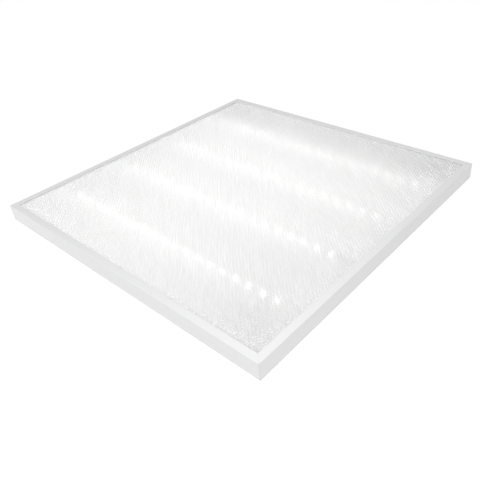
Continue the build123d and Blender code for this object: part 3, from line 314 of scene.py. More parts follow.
# %% Finishes of whole parts
finishes = {
    "frame_white": fine_material("powder_coat_frame", (0.87, 0.87, 0.875), 0.38, 0.02, 1100, 0.25, 0.00005),
    "back_white": fine_material("powder_coat_back", (0.83, 0.83, 0.835), 0.45, 0.03, 1300.0, 0.35, 0.00006),
    "housing_white": fine_material("moulded_housing", (0.80, 0.80, 0.785), 0.6, 0.04, 2400.0, 0.4, 0.00004),
    "pocket_white": fine_material("moulded_pocket", (0.84, 0.84, 0.83), 0.5, 0.03, 2600.0, 0.35, 0.00003),
    "lid_white": fine_material("moulded_lid", (0.85, 0.85, 0.84), 0.45, 0.03, 2600.0, 0.3, 0.00003),
    "film_white": fine_material("reflector_film", (0.93, 0.93, 0.93), 0.55, 0.015, 700.0, 0.12, 0.00003),
    "connector_white": fine_material("connector_nylon", (0.86, 0.86, 0.82), 0.42, 0.04, 3000, 0.2, 0.00002),
    "clip_nylon": fine_material("clip_nylon", (0.8, 0.8, 0.74), 0.5, 0.06, 2500.0, 0.3, 0.00003),
    "terminal_grey": fine_material("terminal_polyamide", (0.62, 0.62, 0.61), 0.42, 0.05, 2600, 0.3, 0.00003),
    "button_orange": fine_material("button_polyamide", (0.82, 0.22, 0.02), 0.38, 0.05, 2600, 0.25, 0.00003),
    "clamp_grey": fine_material("clamp_moulding", (0.42, 0.42, 0.42), 0.5, 0.06, 2200.0, 0.35, 0.00004),
    "grommet_rubber": fine_material("grommet_rubber", (0.03, 0.03, 0.032), 0.72, 0.2, 1800, 0.45, 0.00005),
    "wire_red": fine_material("wire_red", (0.55, 0.02, 0.015), 0.42, 0.08, 2500.0, 0.2, 0.00002),
    "wire_black": fine_material("wire_black", (0.018, 0.018, 0.02), 0.45, 0.15, 2500.0, 0.2, 0.00002),
    "wire_brown": fine_material("wire_brown", (0.16, 0.06, 0.025), 0.42, 0.1, 2500.0, 0.2, 0.00002),
    "wire_blue": fine_material("wire_blue", (0.03, 0.11, 0.45), 0.42, 0.08, 2500.0, 0.2, 0.00002),
    "driver_terminal": fine_material("driver_terminal", (0.05, 0.3, 0.13), 0.45, 0.06, 2600, 0.3, 0.00003),
    "capacitor_sleeve": fine_material("capacitor_case", (0.42, 0.3, 0.05), 0.4, 0.08, 1800.0, 0.2, 0.00003),
    "screw_zinc": metal_material("screw_zinc", (0.72, 0.73, 0.75), 0.3, 1400.0, 0.25, 0.3),
    "rivet_metal": metal_material("rivet_aluminium", (0.78, 0.78, 0.79), 0.35, 1200.0, 0.2, 0.3),
    "standoff_brass": metal_material("standoff_plated_brass", (0.72, 0.70, 0.64), 0.32, 1100.0, 0.2, 0.3),
    "key_metal": metal_material("corner_key_cast", (0.6, 0.61, 0.62), 0.55, 500.0, 0.3, 0.6),
    "tray_metal": metal_material("tray_aluminium", (0.84, 0.84, 0.85), 0.32, 700.0, 0.12, 0.2),
    "tag_tinned": metal_material("tag_tinned", (0.75, 0.75, 0.73), 0.4, 600.0, 0.2, 0.3),
}
print("finishes:", len(finishes))

# %% [markdown]
# ## Lamps and their boards
# Each lamp is a white package with a round yellow window of phosphor. Seventy-six light objects would be
# slow and noisy, so the windows shine by themselves, and the white package round each window carries painted
# light at half their strength. The packages repeat at an even pitch, so the distance along and across to the
# nearest lamp is worked out once, in a group, and every window comes from it. The boards are white too, with
# a printed line along each edge and tinned pads beside each lamp. Round each lamp, the board and the film
# carry a painted halo of light, which is a formula of that same distance: it stays free of noise, and the
# plate above shows it from any side.

# %% Mask and colour helpers
def mix_colours(tree, mask, first, second):
    """Mixes two colours by a mask socket. Each colour is three numbers or an output socket."""
    node = tree.nodes.new("ShaderNodeMix")
    node.data_type = "RGBA"
    feed(tree, mask, node.inputs["Factor"])
    for colour, socket in ((first, node.inputs[6]), (second, node.inputs[7])):
        feed(tree, (*colour, 1.0) if isinstance(colour, tuple) else colour, socket)
    return node.outputs[2]


def split_axes(tree, vector):
    """Splits a vector socket into its X, Y and Z sockets."""
    node = tree.nodes.new("ShaderNodeSeparateXYZ")
    feed(tree, vector, node.inputs[0])
    return node.outputs[0], node.outputs[1], node.outputs[2]


def inside_mask(tree, limit, reach, steepness):
    """A mask of 1 where reach is less than limit; its edge rises by steepness for each metre."""
    return maths(tree, "MULTIPLY", maths(tree, "SUBTRACT", limit, reach), steepness, clamp=True)


print("helpers:", mix_colours.__name__, split_axes.__name__, inside_mask.__name__)

# %% Group: lamp places
row_pitch = float(row_places[1] - row_places[0])
row_end = float(led_places[-1])
lamp_places, entry, leave = new_group(
    "lamp_places",
    [("Vector", vector_socket, None)],
    [("Along", float_socket, None), ("Across", float_socket, None), ("Distance", float_socket, None)],
)


def nearest_step(tree, value, pitch, first, last):
    """The distance from value to the nearest of the places first, first + pitch, ... up to last."""
    counted = maths(tree, "DIVIDE", maths(tree, "SUBTRACT", value, first), pitch)
    rounded = maths(tree, "ROUND", counted)
    limited = maths(tree, "MINIMUM", maths(tree, "MAXIMUM", rounded, 0.0), round((last - first) / pitch))
    return maths(tree, "SUBTRACT", value, maths(tree, "MULTIPLY_ADD", limited, pitch, first))


x, y, _ = split_axes(lamp_places, entry.outputs["Vector"])
along = nearest_step(lamp_places, x, led_pitch, -row_end, row_end)
across = nearest_step(lamp_places, y, row_pitch, float(row_places[0]), float(row_places[-1]))
squares = maths(lamp_places, "MULTIPLY_ADD", along, along, maths(lamp_places, "MULTIPLY", across, across))
distance = maths(lamp_places, "SQRT", squares)
for label, value in (("Along", along), ("Across", across), ("Distance", distance)):
    feed(lamp_places, value, leave.inputs[label])
print("lamp pitch", round(led_pitch, 5), "row pitch", round(row_pitch, 5))

# %% Group: lamp halo
halo_strength, halo_spread = 3.0, 5.0 * mm
lamp_halo, entry, leave = new_group(
    "lamp_halo",
    [("Distance", float_socket, None), ("Strength", float_socket, 1.0), ("Spread", float_socket, 0.01)],
    [("Colour", colour_socket, None)],
)
ratio = maths(lamp_halo, "DIVIDE", entry.outputs["Distance"], entry.outputs["Spread"])
fall = maths(lamp_halo, "POWER", maths(lamp_halo, "MULTIPLY_ADD", ratio, ratio, 1.0), -2.0)
cast = maths(lamp_halo, "MULTIPLY", fall, entry.outputs["Strength"])
grey = lamp_halo.nodes.new("ShaderNodeCombineColor")
for index in range(3):
    feed(lamp_halo, cast, grey.inputs[index])
feed(lamp_halo, grey.outputs[0], leave.inputs["Colour"])


def add_halo(tree, shader, distance):
    """Painted light round a lamp, as emission on the white: strength / (1 + (distance / spread) squared)
    squared.
    """
    values = {"Distance": distance, "Strength": halo_strength, "Spread": halo_spread}
    feed(tree, use_group(tree, lamp_halo, values).outputs["Colour"], shader.inputs["Emission Color"])
    shader.inputs["Emission Strength"].default_value = 1.0


print("group", lamp_halo.name, len(lamp_halo.nodes), "nodes")

# %% Lamp material
window_radius, window_steepness, lamp_strength = 1.15 * mm, 4000.0, 11.0
lamp, tree, shader, where = new_material("lamp_package")
reach = use_group(tree, lamp_places, {"Vector": where}).outputs["Distance"]
window = inside_mask(tree, window_radius, reach, window_steepness)
package = mix_colours(tree, window, (0.88, 0.88, 0.86), (0.93, 0.78, 0.22))
# painted light: the white package round each window glows at half the window's strength, standing in for the
# window's light falling on it
shining = mix_colours(tree, window, (0.5, 0.5, 0.49), (1.0, 0.98, 0.93))
feed(tree, package, shader.inputs["Base Color"])
feed(tree, shining, shader.inputs["Emission Color"])
shader.inputs["Emission Strength"].default_value = lamp_strength
shader.inputs["Roughness"].default_value = 0.3
add_bump(tree, shader, window, 0.6, 0.15 * mm)
lamp.cycles.emission_sampling = "NONE"
finishes["lamp_phosphor"] = lamp
print("material", lamp.name, len(tree.nodes), "nodes")

# %% Board material and the halo on the film
line_offset, line_half = 4.6 * mm, 0.55 * mm
pad_offset, pad_half = 3.6 * mm, 0.9 * mm
print_steepness = 6000.0
board, tree, shader, where = new_material("lamp_board")
spot = use_group(tree, lamp_places, {"Vector": where})
side = maths(tree, "ABSOLUTE", spot.outputs["Across"])
line_reach = maths(tree, "ABSOLUTE", maths(tree, "SUBTRACT", side, line_offset))
line = inside_mask(tree, line_half, line_reach, print_steepness)
ahead = maths(tree, "ABSOLUTE", spot.outputs["Along"])
pad_reach = maths(tree, "ABSOLUTE", maths(tree, "SUBTRACT", ahead, pad_offset))
pad = inside_mask(tree, pad_half, maths(tree, "MAXIMUM", pad_reach, side), print_steepness)
painted = mix_colours(tree, line, (0.88, 0.885, 0.87), (0.78, 0.79, 0.76))
feed(tree, mix_colours(tree, pad, painted, (0.62, 0.62, 0.6)), shader.inputs["Base Color"])
feed(tree, maths(tree, "MULTIPLY_ADD", noise(tree, where, 900.0), 0.2, 0.3), shader.inputs["Roughness"])
feed(tree, pad, shader.inputs["Metallic"])
add_bump(tree, shader, maths(tree, "ADD", line, pad), 0.5, 0.06 * mm)
# painted light: the lamps' halo glows on the board
add_halo(tree, shader, spot.outputs["Distance"])
board.cycles.emission_sampling = "NONE"
finishes["board_white"] = board

film = finishes["film_white"]
tree = film.node_tree
where = tree.nodes.new("ShaderNodeTexCoord").outputs["Object"]
reach = use_group(tree, lamp_places, {"Vector": where}).outputs["Distance"]
# painted light: the same halo glows on the film
add_halo(tree, tree.nodes["Principled BSDF"], reach)
film.cycles.emission_sampling = "NONE"
print("materials", board.name, film.name)

# %% [markdown]
# ## The driver's own parts and the earth wire
# Inside the driver sit a green circuit board, a wound transformer and a choke. They show only when the box
# is open, but each still gets the marks of its kind: tracks on the board, turns of tape and wire on the
# coils. Real turns would be thousands of thin loops, so a wave along the height stands for them, in a group
# that both coils use, and paints the grooves between turns darker as painted shade. The earth wire's green
# insulation carries a yellow stripe along its upper side.

# %% Circuit board
track_rate, track_half, gate_scale = 190.0, 0.16, 60.0
dot_rate, dot_radius = 260.0, 0.16
circuit, tree, shader, where = new_material("circuit_board")
repeated = maths(tree, "FRACT", maths(tree, "MULTIPLY", split_axes(tree, where)[1], track_rate))
beside_middle = maths(tree, "ABSOLUTE", maths(tree, "SUBTRACT", repeated, 0.5))
gate = noise(tree, where, gate_scale, 0.0)
on_line = maths(tree, "LESS_THAN", beside_middle, track_half)
tracks = maths(tree, "MULTIPLY", on_line, maths(tree, "GREATER_THAN", gate, 0.5))
dots = tree.nodes.new("ShaderNodeTexVoronoi")
dots.inputs["Scale"].default_value = dot_rate
feed(tree, where, dots.inputs["Vector"])
solder = maths(tree, "LESS_THAN", dots.outputs["Distance"], dot_radius)
masked = mix_colours(tree, tracks, (0.03, 0.2, 0.08), (0.05, 0.32, 0.12))
feed(tree, mix_colours(tree, solder, masked, (0.7, 0.7, 0.68)), shader.inputs["Base Color"])
feed(tree, solder, shader.inputs["Metallic"])
feed(tree, maths(tree, "MULTIPLY_ADD", gate, 0.15, 0.25), shader.inputs["Roughness"])
add_bump(tree, shader, maths(tree, "ADD", tracks, solder), 0.5, 0.08 * mm)
finishes["circuit_green"] = circuit
print("material", circuit.name, len(tree.nodes), "nodes")

# %% Group: wound turns
varnish_scale = 400.0
wound_turns, entry, leave = new_group(
    "wound_turns",
    [
        ("Vector", vector_socket, None),
        ("Ridge", colour_socket, (0.6, 0.5, 0.1, 1.0)),
        ("Groove", colour_socket, (0.3, 0.2, 0.05, 1.0)),
        ("Turn Rate", float_socket, 1000.0),
    ],
    finish_outputs,
)
level = split_axes(wound_turns, entry.outputs["Vector"])[2]
turns = maths(wound_turns, "MULTIPLY", level, entry.outputs["Turn Rate"])
wave = maths(wound_turns, "PINGPONG", turns, 0.5)
# painted shade: the grooves between turns get the darker colour
coloured = mix_colours(wound_turns, wave, entry.outputs["Groove"], entry.outputs["Ridge"])
varnish = noise(wound_turns, entry.outputs["Vector"], varnish_scale)
feed(wound_turns, coloured, leave.inputs["Colour"])
feed(wound_turns, maths(wound_turns, "MULTIPLY_ADD", varnish, 0.2, 0.25), leave.inputs["Roughness"])
feed(wound_turns, wave, leave.inputs["Height"])
for slot_name, name, ridge, groove, rate in (
    ("transformer_core", "transformer", (0.75, 0.62, 0.08), (0.6, 0.48, 0.05), 700.0),
    ("choke_winding", "choke_winding", (0.55, 0.2, 0.05), (0.3, 0.1, 0.03), 1200.0),
):
    values = {"Ridge": (*ridge, 1.0), "Groove": (*groove, 1.0), "Turn Rate": rate}
    finishes[slot_name] = group_material(name, wound_turns, values, 0.8, 0.3 * mm)
print("group", wound_turns.name, len(wound_turns.nodes), "nodes")

# %% Earth wire
stripe_level, stripe_start, stripe_wave = plate_top + 6.1 * mm, 0.3 * mm, 0.2 * mm
earth, tree, shader, where = new_material("wire_green_yellow")
level = maths(tree, "SUBTRACT", split_axes(tree, where)[2], stripe_level)
wavy_level = maths(tree, "MULTIPLY_ADD", noise(tree, where, 300.0), stripe_wave, level)
stripe = maths(tree, "GREATER_THAN", wavy_level, stripe_start)
feed(tree, mix_colours(tree, stripe, (0.04, 0.32, 0.05), (0.85, 0.7, 0.03)), shader.inputs["Base Color"])
feed(tree, maths(tree, "MULTIPLY_ADD", noise(tree, where, 900.0), 0.15, 0.35), shader.inputs["Roughness"])
add_bump(tree, shader, noise(tree, where, 2500.0), 0.2, 0.02 * mm)
finishes["wire_green_yellow"] = earth
print("material", earth.name, len(tree.nodes), "nodes")

# %% Give every solid its finish
slot_of = {part["node"]: part["material_slot"] for part in frame["record"]["subparts"]}
for node_name, solid in nodes.items():
    material = finishes.get(slot_of[node_name])
    if material is not None:
        for place in solid.material_slots:
            place.material = material
print("dressed:", sum(slot_of[name] in finishes for name in nodes), "of", len(nodes))

# %% [markdown]
# ## The prismatic plate
# The real diffuser is a milky plate whose face is a field of small square pyramids, turned 45 degrees to the
# panel's edges. A bump map would fade at a low angle, so the pyramids are real faces. On a grid square to the
# panel, turned pyramids are simple: where column plus row is odd stands a peak, where it is even lies a
# valley, and each cell folds along the line between its two valleys. A flat rim slides in the grooves.
#
# The plate is partly see-through. One share of the light passes through the facets, which bend it, so each
# lamp, which sits about 8 mm below, shows as a small star at its true depth. The rest is scattered in the
# plate. Tracing that light through milky plastic would be slow and noisy, so that share is written on the
# facets as a glow: light from all lamps, summed by a formula of distance and partly read a little to the side
# to which the facet leans. This makes the facets of one cell differ beside the rows, which gives the fine
# streaks of the photo. The glow is painted on: it would stay on the plate with the lamps switched off.

# %% Prism field
prism_pitch = 4.8 * mm
prism_depth = 1.15 * mm
crown_gap = 0.05 * mm
cell = prism_pitch / math.sqrt(2)
field_cells = 2 * int((half_side - lip_width) / cell + 0.7)


def prism_field(cells, size, low, high):
    """A grid of cells by cells: high at odd column plus row or on the border, and low elsewhere."""
    steps = (np.arange(cells + 1) - cells / 2) * size
    x, y = np.meshgrid(steps, steps, indexing="ij")
    column, row = np.meshgrid(np.arange(cells + 1), np.arange(cells + 1), indexing="ij")
    border = (column == 0) | (row == 0) | (column == cells) | (row == cells)
    z = np.where(((column + row) % 2 == 1) | border, high, low)
    points = np.stack([x, y, z], axis=-1).reshape(-1, 3)
    column, row = np.meshgrid(np.arange(cells), np.arange(cells), indexing="ij")
    near = (column * (cells + 1) + row).ravel()
    far, beside, opposite = near + cells + 1, near + 1, near + cells + 2
    even = ((column + row) % 2 == 0).reshape(-1, 1)
    first = np.where(even, np.stack([near, far, opposite], 1), np.stack([near, far, beside], 1))
    second = np.where(even, np.stack([near, opposite, beside], 1), np.stack([far, opposite, beside], 1))
    return points, np.concatenate([first, second])


top_level = diffuser_high - crown_gap
field_points, field_faces = prism_field(field_cells, cell, top_level - prism_depth, top_level)
print("field", field_cells, "cells, half", round(field_cells * cell / 2 / mm, 2), "mm")

# %% Rim, sides and underside
edge = np.arange(field_cells + 1)
stride = field_cells + 1
sides_of_field = [
    edge * stride,
    field_cells * stride + edge,
    (edge * stride + field_cells)[::-1],
    edge[::-1],
]
corner_cut = 2.0 * mm
corner_pairs = [(-1, -1), (1, -1), (1, 1), (-1, 1)]
rim = []
for index, (sx, sy) in enumerate(corner_pairs):
    flat_x = (sx * diffuser_half, sy * (diffuser_half - corner_cut))
    flat_y = (sx * (diffuser_half - corner_cut), sy * diffuser_half)
    rim += [flat_x, flat_y] if index % 2 == 0 else [flat_y, flat_x]
rim = np.array(rim)
turns = len(rim)
upper_rim = np.column_stack([rim, np.full(turns, top_level)])
lower_rim = np.column_stack([rim, np.full(turns, diffuser_low)])
plate_points = np.concatenate([field_points, upper_rim, lower_rim])
upper = len(field_points)
lower = upper + turns
other_faces = []
for index, line in enumerate(sides_of_field):
    start, end = upper + 2 * index + 1, upper + (2 * index + 2) % turns
    other_faces.append([*line[::-1].tolist(), start, end])
    other_faces.append([int(line[0]), upper + 2 * index, upper + 2 * index + 1])
for k in range(turns):
    beyond = (k + 1) % turns
    other_faces.append([lower + k, lower + beyond, upper + beyond, upper + k])
other_faces.append([lower + k for k in reversed(range(turns))])
print("plate outline", turns, "corners, faces round the field", len(other_faces))

# %% Diffuser material
clear_share, bending = 0.42, 1.2
plate_finish = fine_material(
    "prismatic_acrylic", (0.95, 0.95, 0.95), 0.4, 0.015, 900.0, 0.1, 0.02 * mm, rough_drift=0.1
)
tree = plate_finish.node_tree
shader = tree.nodes["Principled BSDF"]
shader.inputs["Transmission Weight"].default_value = clear_share
shader.inputs["IOR"].default_value = bending
shown = tree.nodes.new("ShaderNodeAttribute")
shown.attribute_name = "lamp_glow"
feed(tree, shown.outputs["Color"], shader.inputs["Emission Color"])
shader.inputs["Emission Strength"].default_value = 1.0
plate_finish.cycles.emission_sampling = "NONE"
print("material", plate_finish.name, "clear share", clear_share, "index of refraction", bending)


# %% Light of all lamps
def lamp_sum(places, spread, power):
    """Adds (1 + (d / spread) squared) to the power -power over all lamps; d is the level distance to each."""
    total = np.zeros(len(places))
    for row_y in row_places:
        dx = places[:, 0:1] - led_places[None]
        dy = places[:, 1:2] - row_y
        total += ((1 + (dx * dx + dy * dy) / spread**2) ** -power).sum(axis=1)
    return total


wide_spread, streak_spread, near_spread = 80.0 * mm, 30.0 * mm, 15.0 * mm
wide_power, narrow_power = 1.5, 2.0
middle_light = lamp_sum(np.zeros((1, 2)), wide_spread, wide_power)[0]
print("light of all lamps at the middle", round(float(middle_light), 3))

# %% Glow of the facets
even_part, wide_part, near_part = 0.075, 0.10, 0.018
streak_part, edge_part, rail_part = 0.12, 0.042, 0.08
side_fall, corner_fall, back_rise, back_fall = 0.042, 0.06, 0.027, 0.06
edge_reach, rail_reach, corner_reach = 45.0 * mm, 20.0 * mm, 200.0 * mm
fall_start, fall_width, lean = 11.0 * mm, 5.0 * mm, 50.0 * mm


def facet_glow(points, triangles):
    """One painted brightness for each facet, from the lamps' light at its middle c and at a place b beside it.

    b = c + lean * (n . a) * a, with n the facet's unit normal and a the level diagonal (1, 1) / sqrt(2).
    With w, m and s for the lamp sums of wide, streak and near spread, u for x / half_side and v for
    y / half_side, the brightness is
    even_part + wide_part * w(c) / w(0) + near_part * (1 + v / 2 - 0.8 * u * (1 - v)) * s(c)
    + streak_part * (m(b) - m(c)) + edge_part * (1 - v) * exp(-gap / edge_reach)
    + rail_part * v * exp(-gap / rail_reach), this term only where v is above 0,
    - side_fall * u + back_rise * v - corner_fall * exp(-(away / corner_reach) squared)
    - back_fall / (1 + exp(-beyond / fall_width)).
    gap is the way to the nearest rail, away is the way to the near corner of the frame, and beyond is how far
    the facet lies past a line fall_start behind the last row of lamps. The falls towards +X, that corner and
    the strip behind the last row are the photo's: there the plate is darker, and close to the far rail it is
    lighter again. These falls are painted shade, and the edge, rail and back terms are painted light. The
    diagonal is the photo's too: its streaks lie between the facets that face the two ends of that line.
    """
    corners = points[triangles]
    middle = corners.mean(axis=1)
    normal = np.cross(corners[:, 1] - corners[:, 0], corners[:, 2] - corners[:, 0])
    normal /= np.linalg.norm(normal, axis=1, keepdims=True)
    flat = middle[:, :2]
    u, v = flat.T / half_side
    diagonal = np.array([1.0, 1.0]) / math.sqrt(2)
    beside = flat + lean * (normal[:, :2] @ diagonal)[:, None] * diagonal
    wide = lamp_sum(flat, wide_spread, wide_power) / middle_light
    near = lamp_sum(flat, near_spread, narrow_power) * (1 + v / 2 - 0.8 * u * (1 - v))
    streak = lamp_sum(beside, streak_spread, narrow_power) - lamp_sum(flat, streak_spread, narrow_power)
    gap = np.maximum(half_side - lip_width - np.abs(flat).max(axis=1), 0.0)
    away = np.linalg.norm(flat - np.array([half_side, -half_side]), axis=1)
    beyond = flat[:, 1] - row_places[-1] - fall_start
    total = even_part + wide_part * wide + near_part * near + streak_part * streak
    # painted light near the rails and towards the back, then painted shade towards +X, the near corner and
    # behind the last row
    total += edge_part * (1 - v) * np.exp(-gap / edge_reach) + back_rise * v
    total -= side_fall * u + corner_fall * np.exp(-((away / corner_reach) ** 2))
    total -= back_fall / (1 + np.exp(-beyond / fall_width))
    total += rail_part * np.maximum(v, 0.0) * np.exp(-gap / rail_reach)
    return np.maximum(total, 0.0)


facet_light = facet_glow(field_points, field_faces)
print("glow from", round(float(facet_light.min()), 3), "to", round(float(facet_light.max()), 3))

# %% Build the plate
mesh = bpy.data.meshes.new("prismatic_plate")
mesh.from_pydata(plate_points.tolist(), [], field_faces.tolist() + other_faces)
mesh.materials.append(plate_finish)
glow = np.concatenate([facet_light, np.zeros(len(other_faces))])
layer = mesh.attributes.new("lamp_glow", "FLOAT_COLOR", "FACE")
shades = np.column_stack([glow, glow, glow, np.ones(len(glow))])
layer.data.foreach_set("color", shades.ravel())
plate = bpy.data.objects.new("prismatic_plate", mesh)
bpy.context.scene.collection.objects.link(plate)
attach(plate, "diffuser_plate")
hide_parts("diffuser")
print("prismatic_plate", len(mesh.vertices), "points", len(mesh.polygons), "faces")

# %% [markdown]
# ## Helpers for meshes
# A new piece is a set of points and faces worked out as whole arrays. One helper turns the arrays into an
# object that rides on a body of the model, one repeats a small shape at many places, and one closes a row of
# rings into a skin with a pole at each end.

# %% Mesh helpers
def make_piece(name, points, faces, material, body, smooth_angle):
    """Puts points (N, 3) and a list of face arrays into a mesh object at the origin, riding on a body.

    Edges sharper than smooth_angle degrees stay crisp; the rest is shaded smooth.
    """
    mesh = bpy.data.meshes.new(name)
    mesh.from_pydata(np.asarray(points).tolist(), [], [face for block in faces for face in block.tolist()])
    mesh.validate()
    mesh.materials.append(material)
    mesh.shade_smooth()
    mesh.set_sharp_from_angle(angle=math.radians(smooth_angle))
    piece = bpy.data.objects.new(name, mesh)
    bpy.context.scene.collection.objects.link(piece)
    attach(piece, body)
    print(name, len(mesh.vertices), "points", len(mesh.polygons), "faces")
    return piece


def repeat_shape(points, faces, places):
    """Copies one shape to every place: all points are the shape's points plus the place, faces count on."""
    places = np.asarray(places, dtype=float).reshape(-1, 1, 3)
    all_points = (places + points[None]).reshape(-1, 3)
    steps = np.arange(len(places)) * len(points)
    all_faces = [(steps[:, None, None] + block[None]).reshape(-1, block.shape[1]) for block in faces]
    return all_points, all_faces


def closed_rings(rings, start, end):
    """A closed skin over R rings of S points each, with a pole before the first ring and one after the last.

    Quad k of ring r joins points k and k + 1 of ring r with the same two of ring r + 1, counted round.
    """
    count, sides = rings.shape[:2]
    points = np.concatenate([rings.reshape(-1, 3), [start], [end]])
    ring, side = np.meshgrid(np.arange(count - 1), np.arange(sides), indexing="ij")
    here, there = ring * sides + side, ring * sides + (side + 1) % sides
    quads = np.stack([here, there, there + sides, here + sides], axis=-1).reshape(-1, 4)
    side = np.arange(sides)
    after = (side + 1) % sides
    last = (count - 1) * sides
    first_fan = np.stack([after, side, np.full(sides, count * sides)], axis=-1)
    last_fan = np.stack([last + side, last + after, np.full(sides, count * sides + 1)], axis=-1)
    return points, [quads, first_fan, last_fan]


sample_faces = closed_rings(np.zeros((3, 6, 3)), (0, 0, 0), (0, 0, 1))[1]
print("3 rings of 6 points close with", sum(len(block) for block in sample_faces), "faces")

# %% [markdown]
# ## Screws with a cross recess
# A pan head is a low dome over a straight shank. The cross that the driver bites into could be cut with a
# boolean, but that leaves ragged faces on so small a head. Here the profile is turned about its axis into
# rings of points, and the cross is pressed into the dome by lowering the points that lie inside two crossed
# bars. One shape serves each kind of screw, repeated where the solids have theirs. Sizes and places of the
# screws are written in millimetres.

# %% Screw shape
screw_sides, dome_rings, screw_smooth = 32, 13, 35


def screw_shape(head, rise, shank, length, upward):
    """A pan-head screw with its bearing face at height 0; rings run from the dome's middle to the tip.

    The dome's height at radius r is rise * (1 - (r / head) squared * 0.55), less the recess, which is
    0.6 * rise deep inside a cross with bars of half width 0.13 * head and half length 0.5 * head, its walls
    sloping over 0.08 * head. The dome faces down unless upward is true.
    """
    angle = np.linspace(0, 2 * math.pi, screw_sides, endpoint=False)
    dome = np.linspace(0.06, 1.0, dome_rings)[:, None] * head * np.ones(screw_sides)
    x, y = dome * np.cos(angle), dome * np.sin(angle)
    thin = np.minimum(np.abs(x), np.abs(y)) / head
    long = np.maximum(np.abs(x), np.abs(y)) / head
    inside = np.clip((0.21 - thin) / 0.08, 0, 1) * np.clip((0.58 - long) / 0.08, 0, 1)
    height = rise * (1 - 0.55 * (dome / head) ** 2) - 0.6 * rise * inside
    under_radius = np.array([head, shank, shank, 0.93 * shank, 0.93 * shank, shank, shank, 0.4 * shank])
    under_level = np.array([0.0, 0.0, -0.55, -0.6, -0.66, -0.71, -0.9, -1.0]) * length
    x = np.concatenate([x, under_radius[:, None] * np.cos(angle)])
    y = np.concatenate([y, under_radius[:, None] * np.sin(angle)])
    z = np.concatenate([height, under_level[:, None] * np.ones(screw_sides)])
    rings = np.stack([x, y, z], axis=-1)
    points, faces = closed_rings(rings, (0, 0, 0.4 * rise), (0, 0, -length))
    if not upward:
        points = points * np.array([1.0, -1.0, -1.0])
    return points, faces


def place_screws(name, node, size, places, upward=False, body="luminaire"):
    """Repeats a screw of size (head, rise, shank, length) in millimetres at places given in millimetres."""
    points, faces = screw_shape(*(np.array(size) * mm), upward)
    points, faces = repeat_shape(points, faces, np.asarray(places) * mm)
    piece = make_piece(name, points, faces, finishes["screw_zinc"], body, screw_smooth)
    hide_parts(node)


print("a screw has", sum(len(block) for block in screw_shape(2.9, 2.0, 1.6, 12.9, True)[1]), "faces")

# %% Screw places
half = panel_side / 2
chamber_line, corner_line = half - 4.85, half - 22.0
flange_line = half - (8.45 + 18.0) / 2
along_side = (np.arange(4) - 1.5) * 160.0
clamp_level, end_clamp_level, flange_level = 3.2, 3.4, 2.6
tray_level, driver_level, cord_level = 17.6, 4.4, 5.1
driver_row = float(row_places[1] / mm)
key_places = [(-chamber_line, s * corner_line, clamp_level) for s in (-1, 1)]
key_places += [(s * corner_line, t * chamber_line, clamp_level) for s in (-1, 1) for t in (-1, 1)]
end_places = [(chamber_line, s * corner_line, end_clamp_level) for s in (-1, 1)]
flange_places = [(-flange_line, s, flange_level) for s in along_side]
flange_places += [(s, t * flange_line, flange_level) for s in along_side for t in (-1, 1)]
tray_places = [(x, y, tray_level) for x in (-240.0, 0.0, 240.0) for y in (-256.0, 0.0, 256.0)]
driver_places = [(s * 106.0, driver_row, driver_level) for s in (-1, 1)]
cord_places = [(6.0, 64.0 + s * 10.5, cord_level) for s in (-1, 1)]
earth_places = [(-70.0, 20.0, 4.0)]
place_screws("corner_clamp_screw_heads", "corner_clamp_screws", (2.9, 2.0, 1.6, 12.9), key_places)
end_size, end_body = (2.9, 2.0, 1.6, 12.7), "end_rail_assembly"
place_screws("end_rail_screw_heads", "end_rail_screws", end_size, end_places, body=end_body)
place_screws("back_plate_screw_heads", "back_plate_screws", (2.75, 1.7, 1.45, 6.5), flange_places)
place_screws("tray_screw_heads", "tray_screws", (2.7, 1.6, 1.4, 8.0), tray_places, upward=True)
place_screws("driver_screw_heads", "driver_screws", (2.75, 1.7, 1.45, 2.4), driver_places, upward=True)
place_screws("cord_clamp_screw_heads", "cord_clamp_screws", (2.5, 1.6, 1.3, 9.3), cord_places)
place_screws("earth_screw_head", "earth_screw", (3.6, 2.4, 1.9, 2.35), earth_places, upward=True)

# %% [markdown]
# ## Round jumper wires
# Pairs of red and black wires loop from the end of one board to the next. The solids have six-sided wires, so
# here each is swept again as a round tube along the same route: out of the connector, round two bends, and
# back. A curve with a bevel would look alike; worked out as rings of points, the tube comes closed and ready.

# %% Route and tube
def rounded_route(corners, bend, steps=7):
    """A smooth path: straight runs, with each corner replaced by an arc of radius bend.

    The arc starts bend * tan(turn / 2) before the corner. Its points are
    start + inward * bend * (1 - cos(t)) + along * bend * sin(t), for t from 0 to the turn, with along the
    direction of the run before the corner, and inward square to it, towards the run after.
    """
    corners = np.asarray(corners, dtype=float)
    pieces = [corners[:1]]
    for before, corner, after in zip(corners[:-2], corners[1:-1], corners[2:]):
        along = (corner - before) / np.linalg.norm(corner - before)
        onward = (after - corner) / np.linalg.norm(after - corner)
        turn = math.acos(float(np.clip(along @ onward, -1, 1)))
        inward = onward - along * (along @ onward)
        inward /= np.linalg.norm(inward)
        start = corner - along * bend * math.tan(turn / 2)
        angles = np.linspace(0, turn, steps)[:, None]
        pieces.append(start + inward * bend * (1 - np.cos(angles)) + along * bend * np.sin(angles))
    pieces.append(corners[-1:])
    return np.concatenate(pieces)


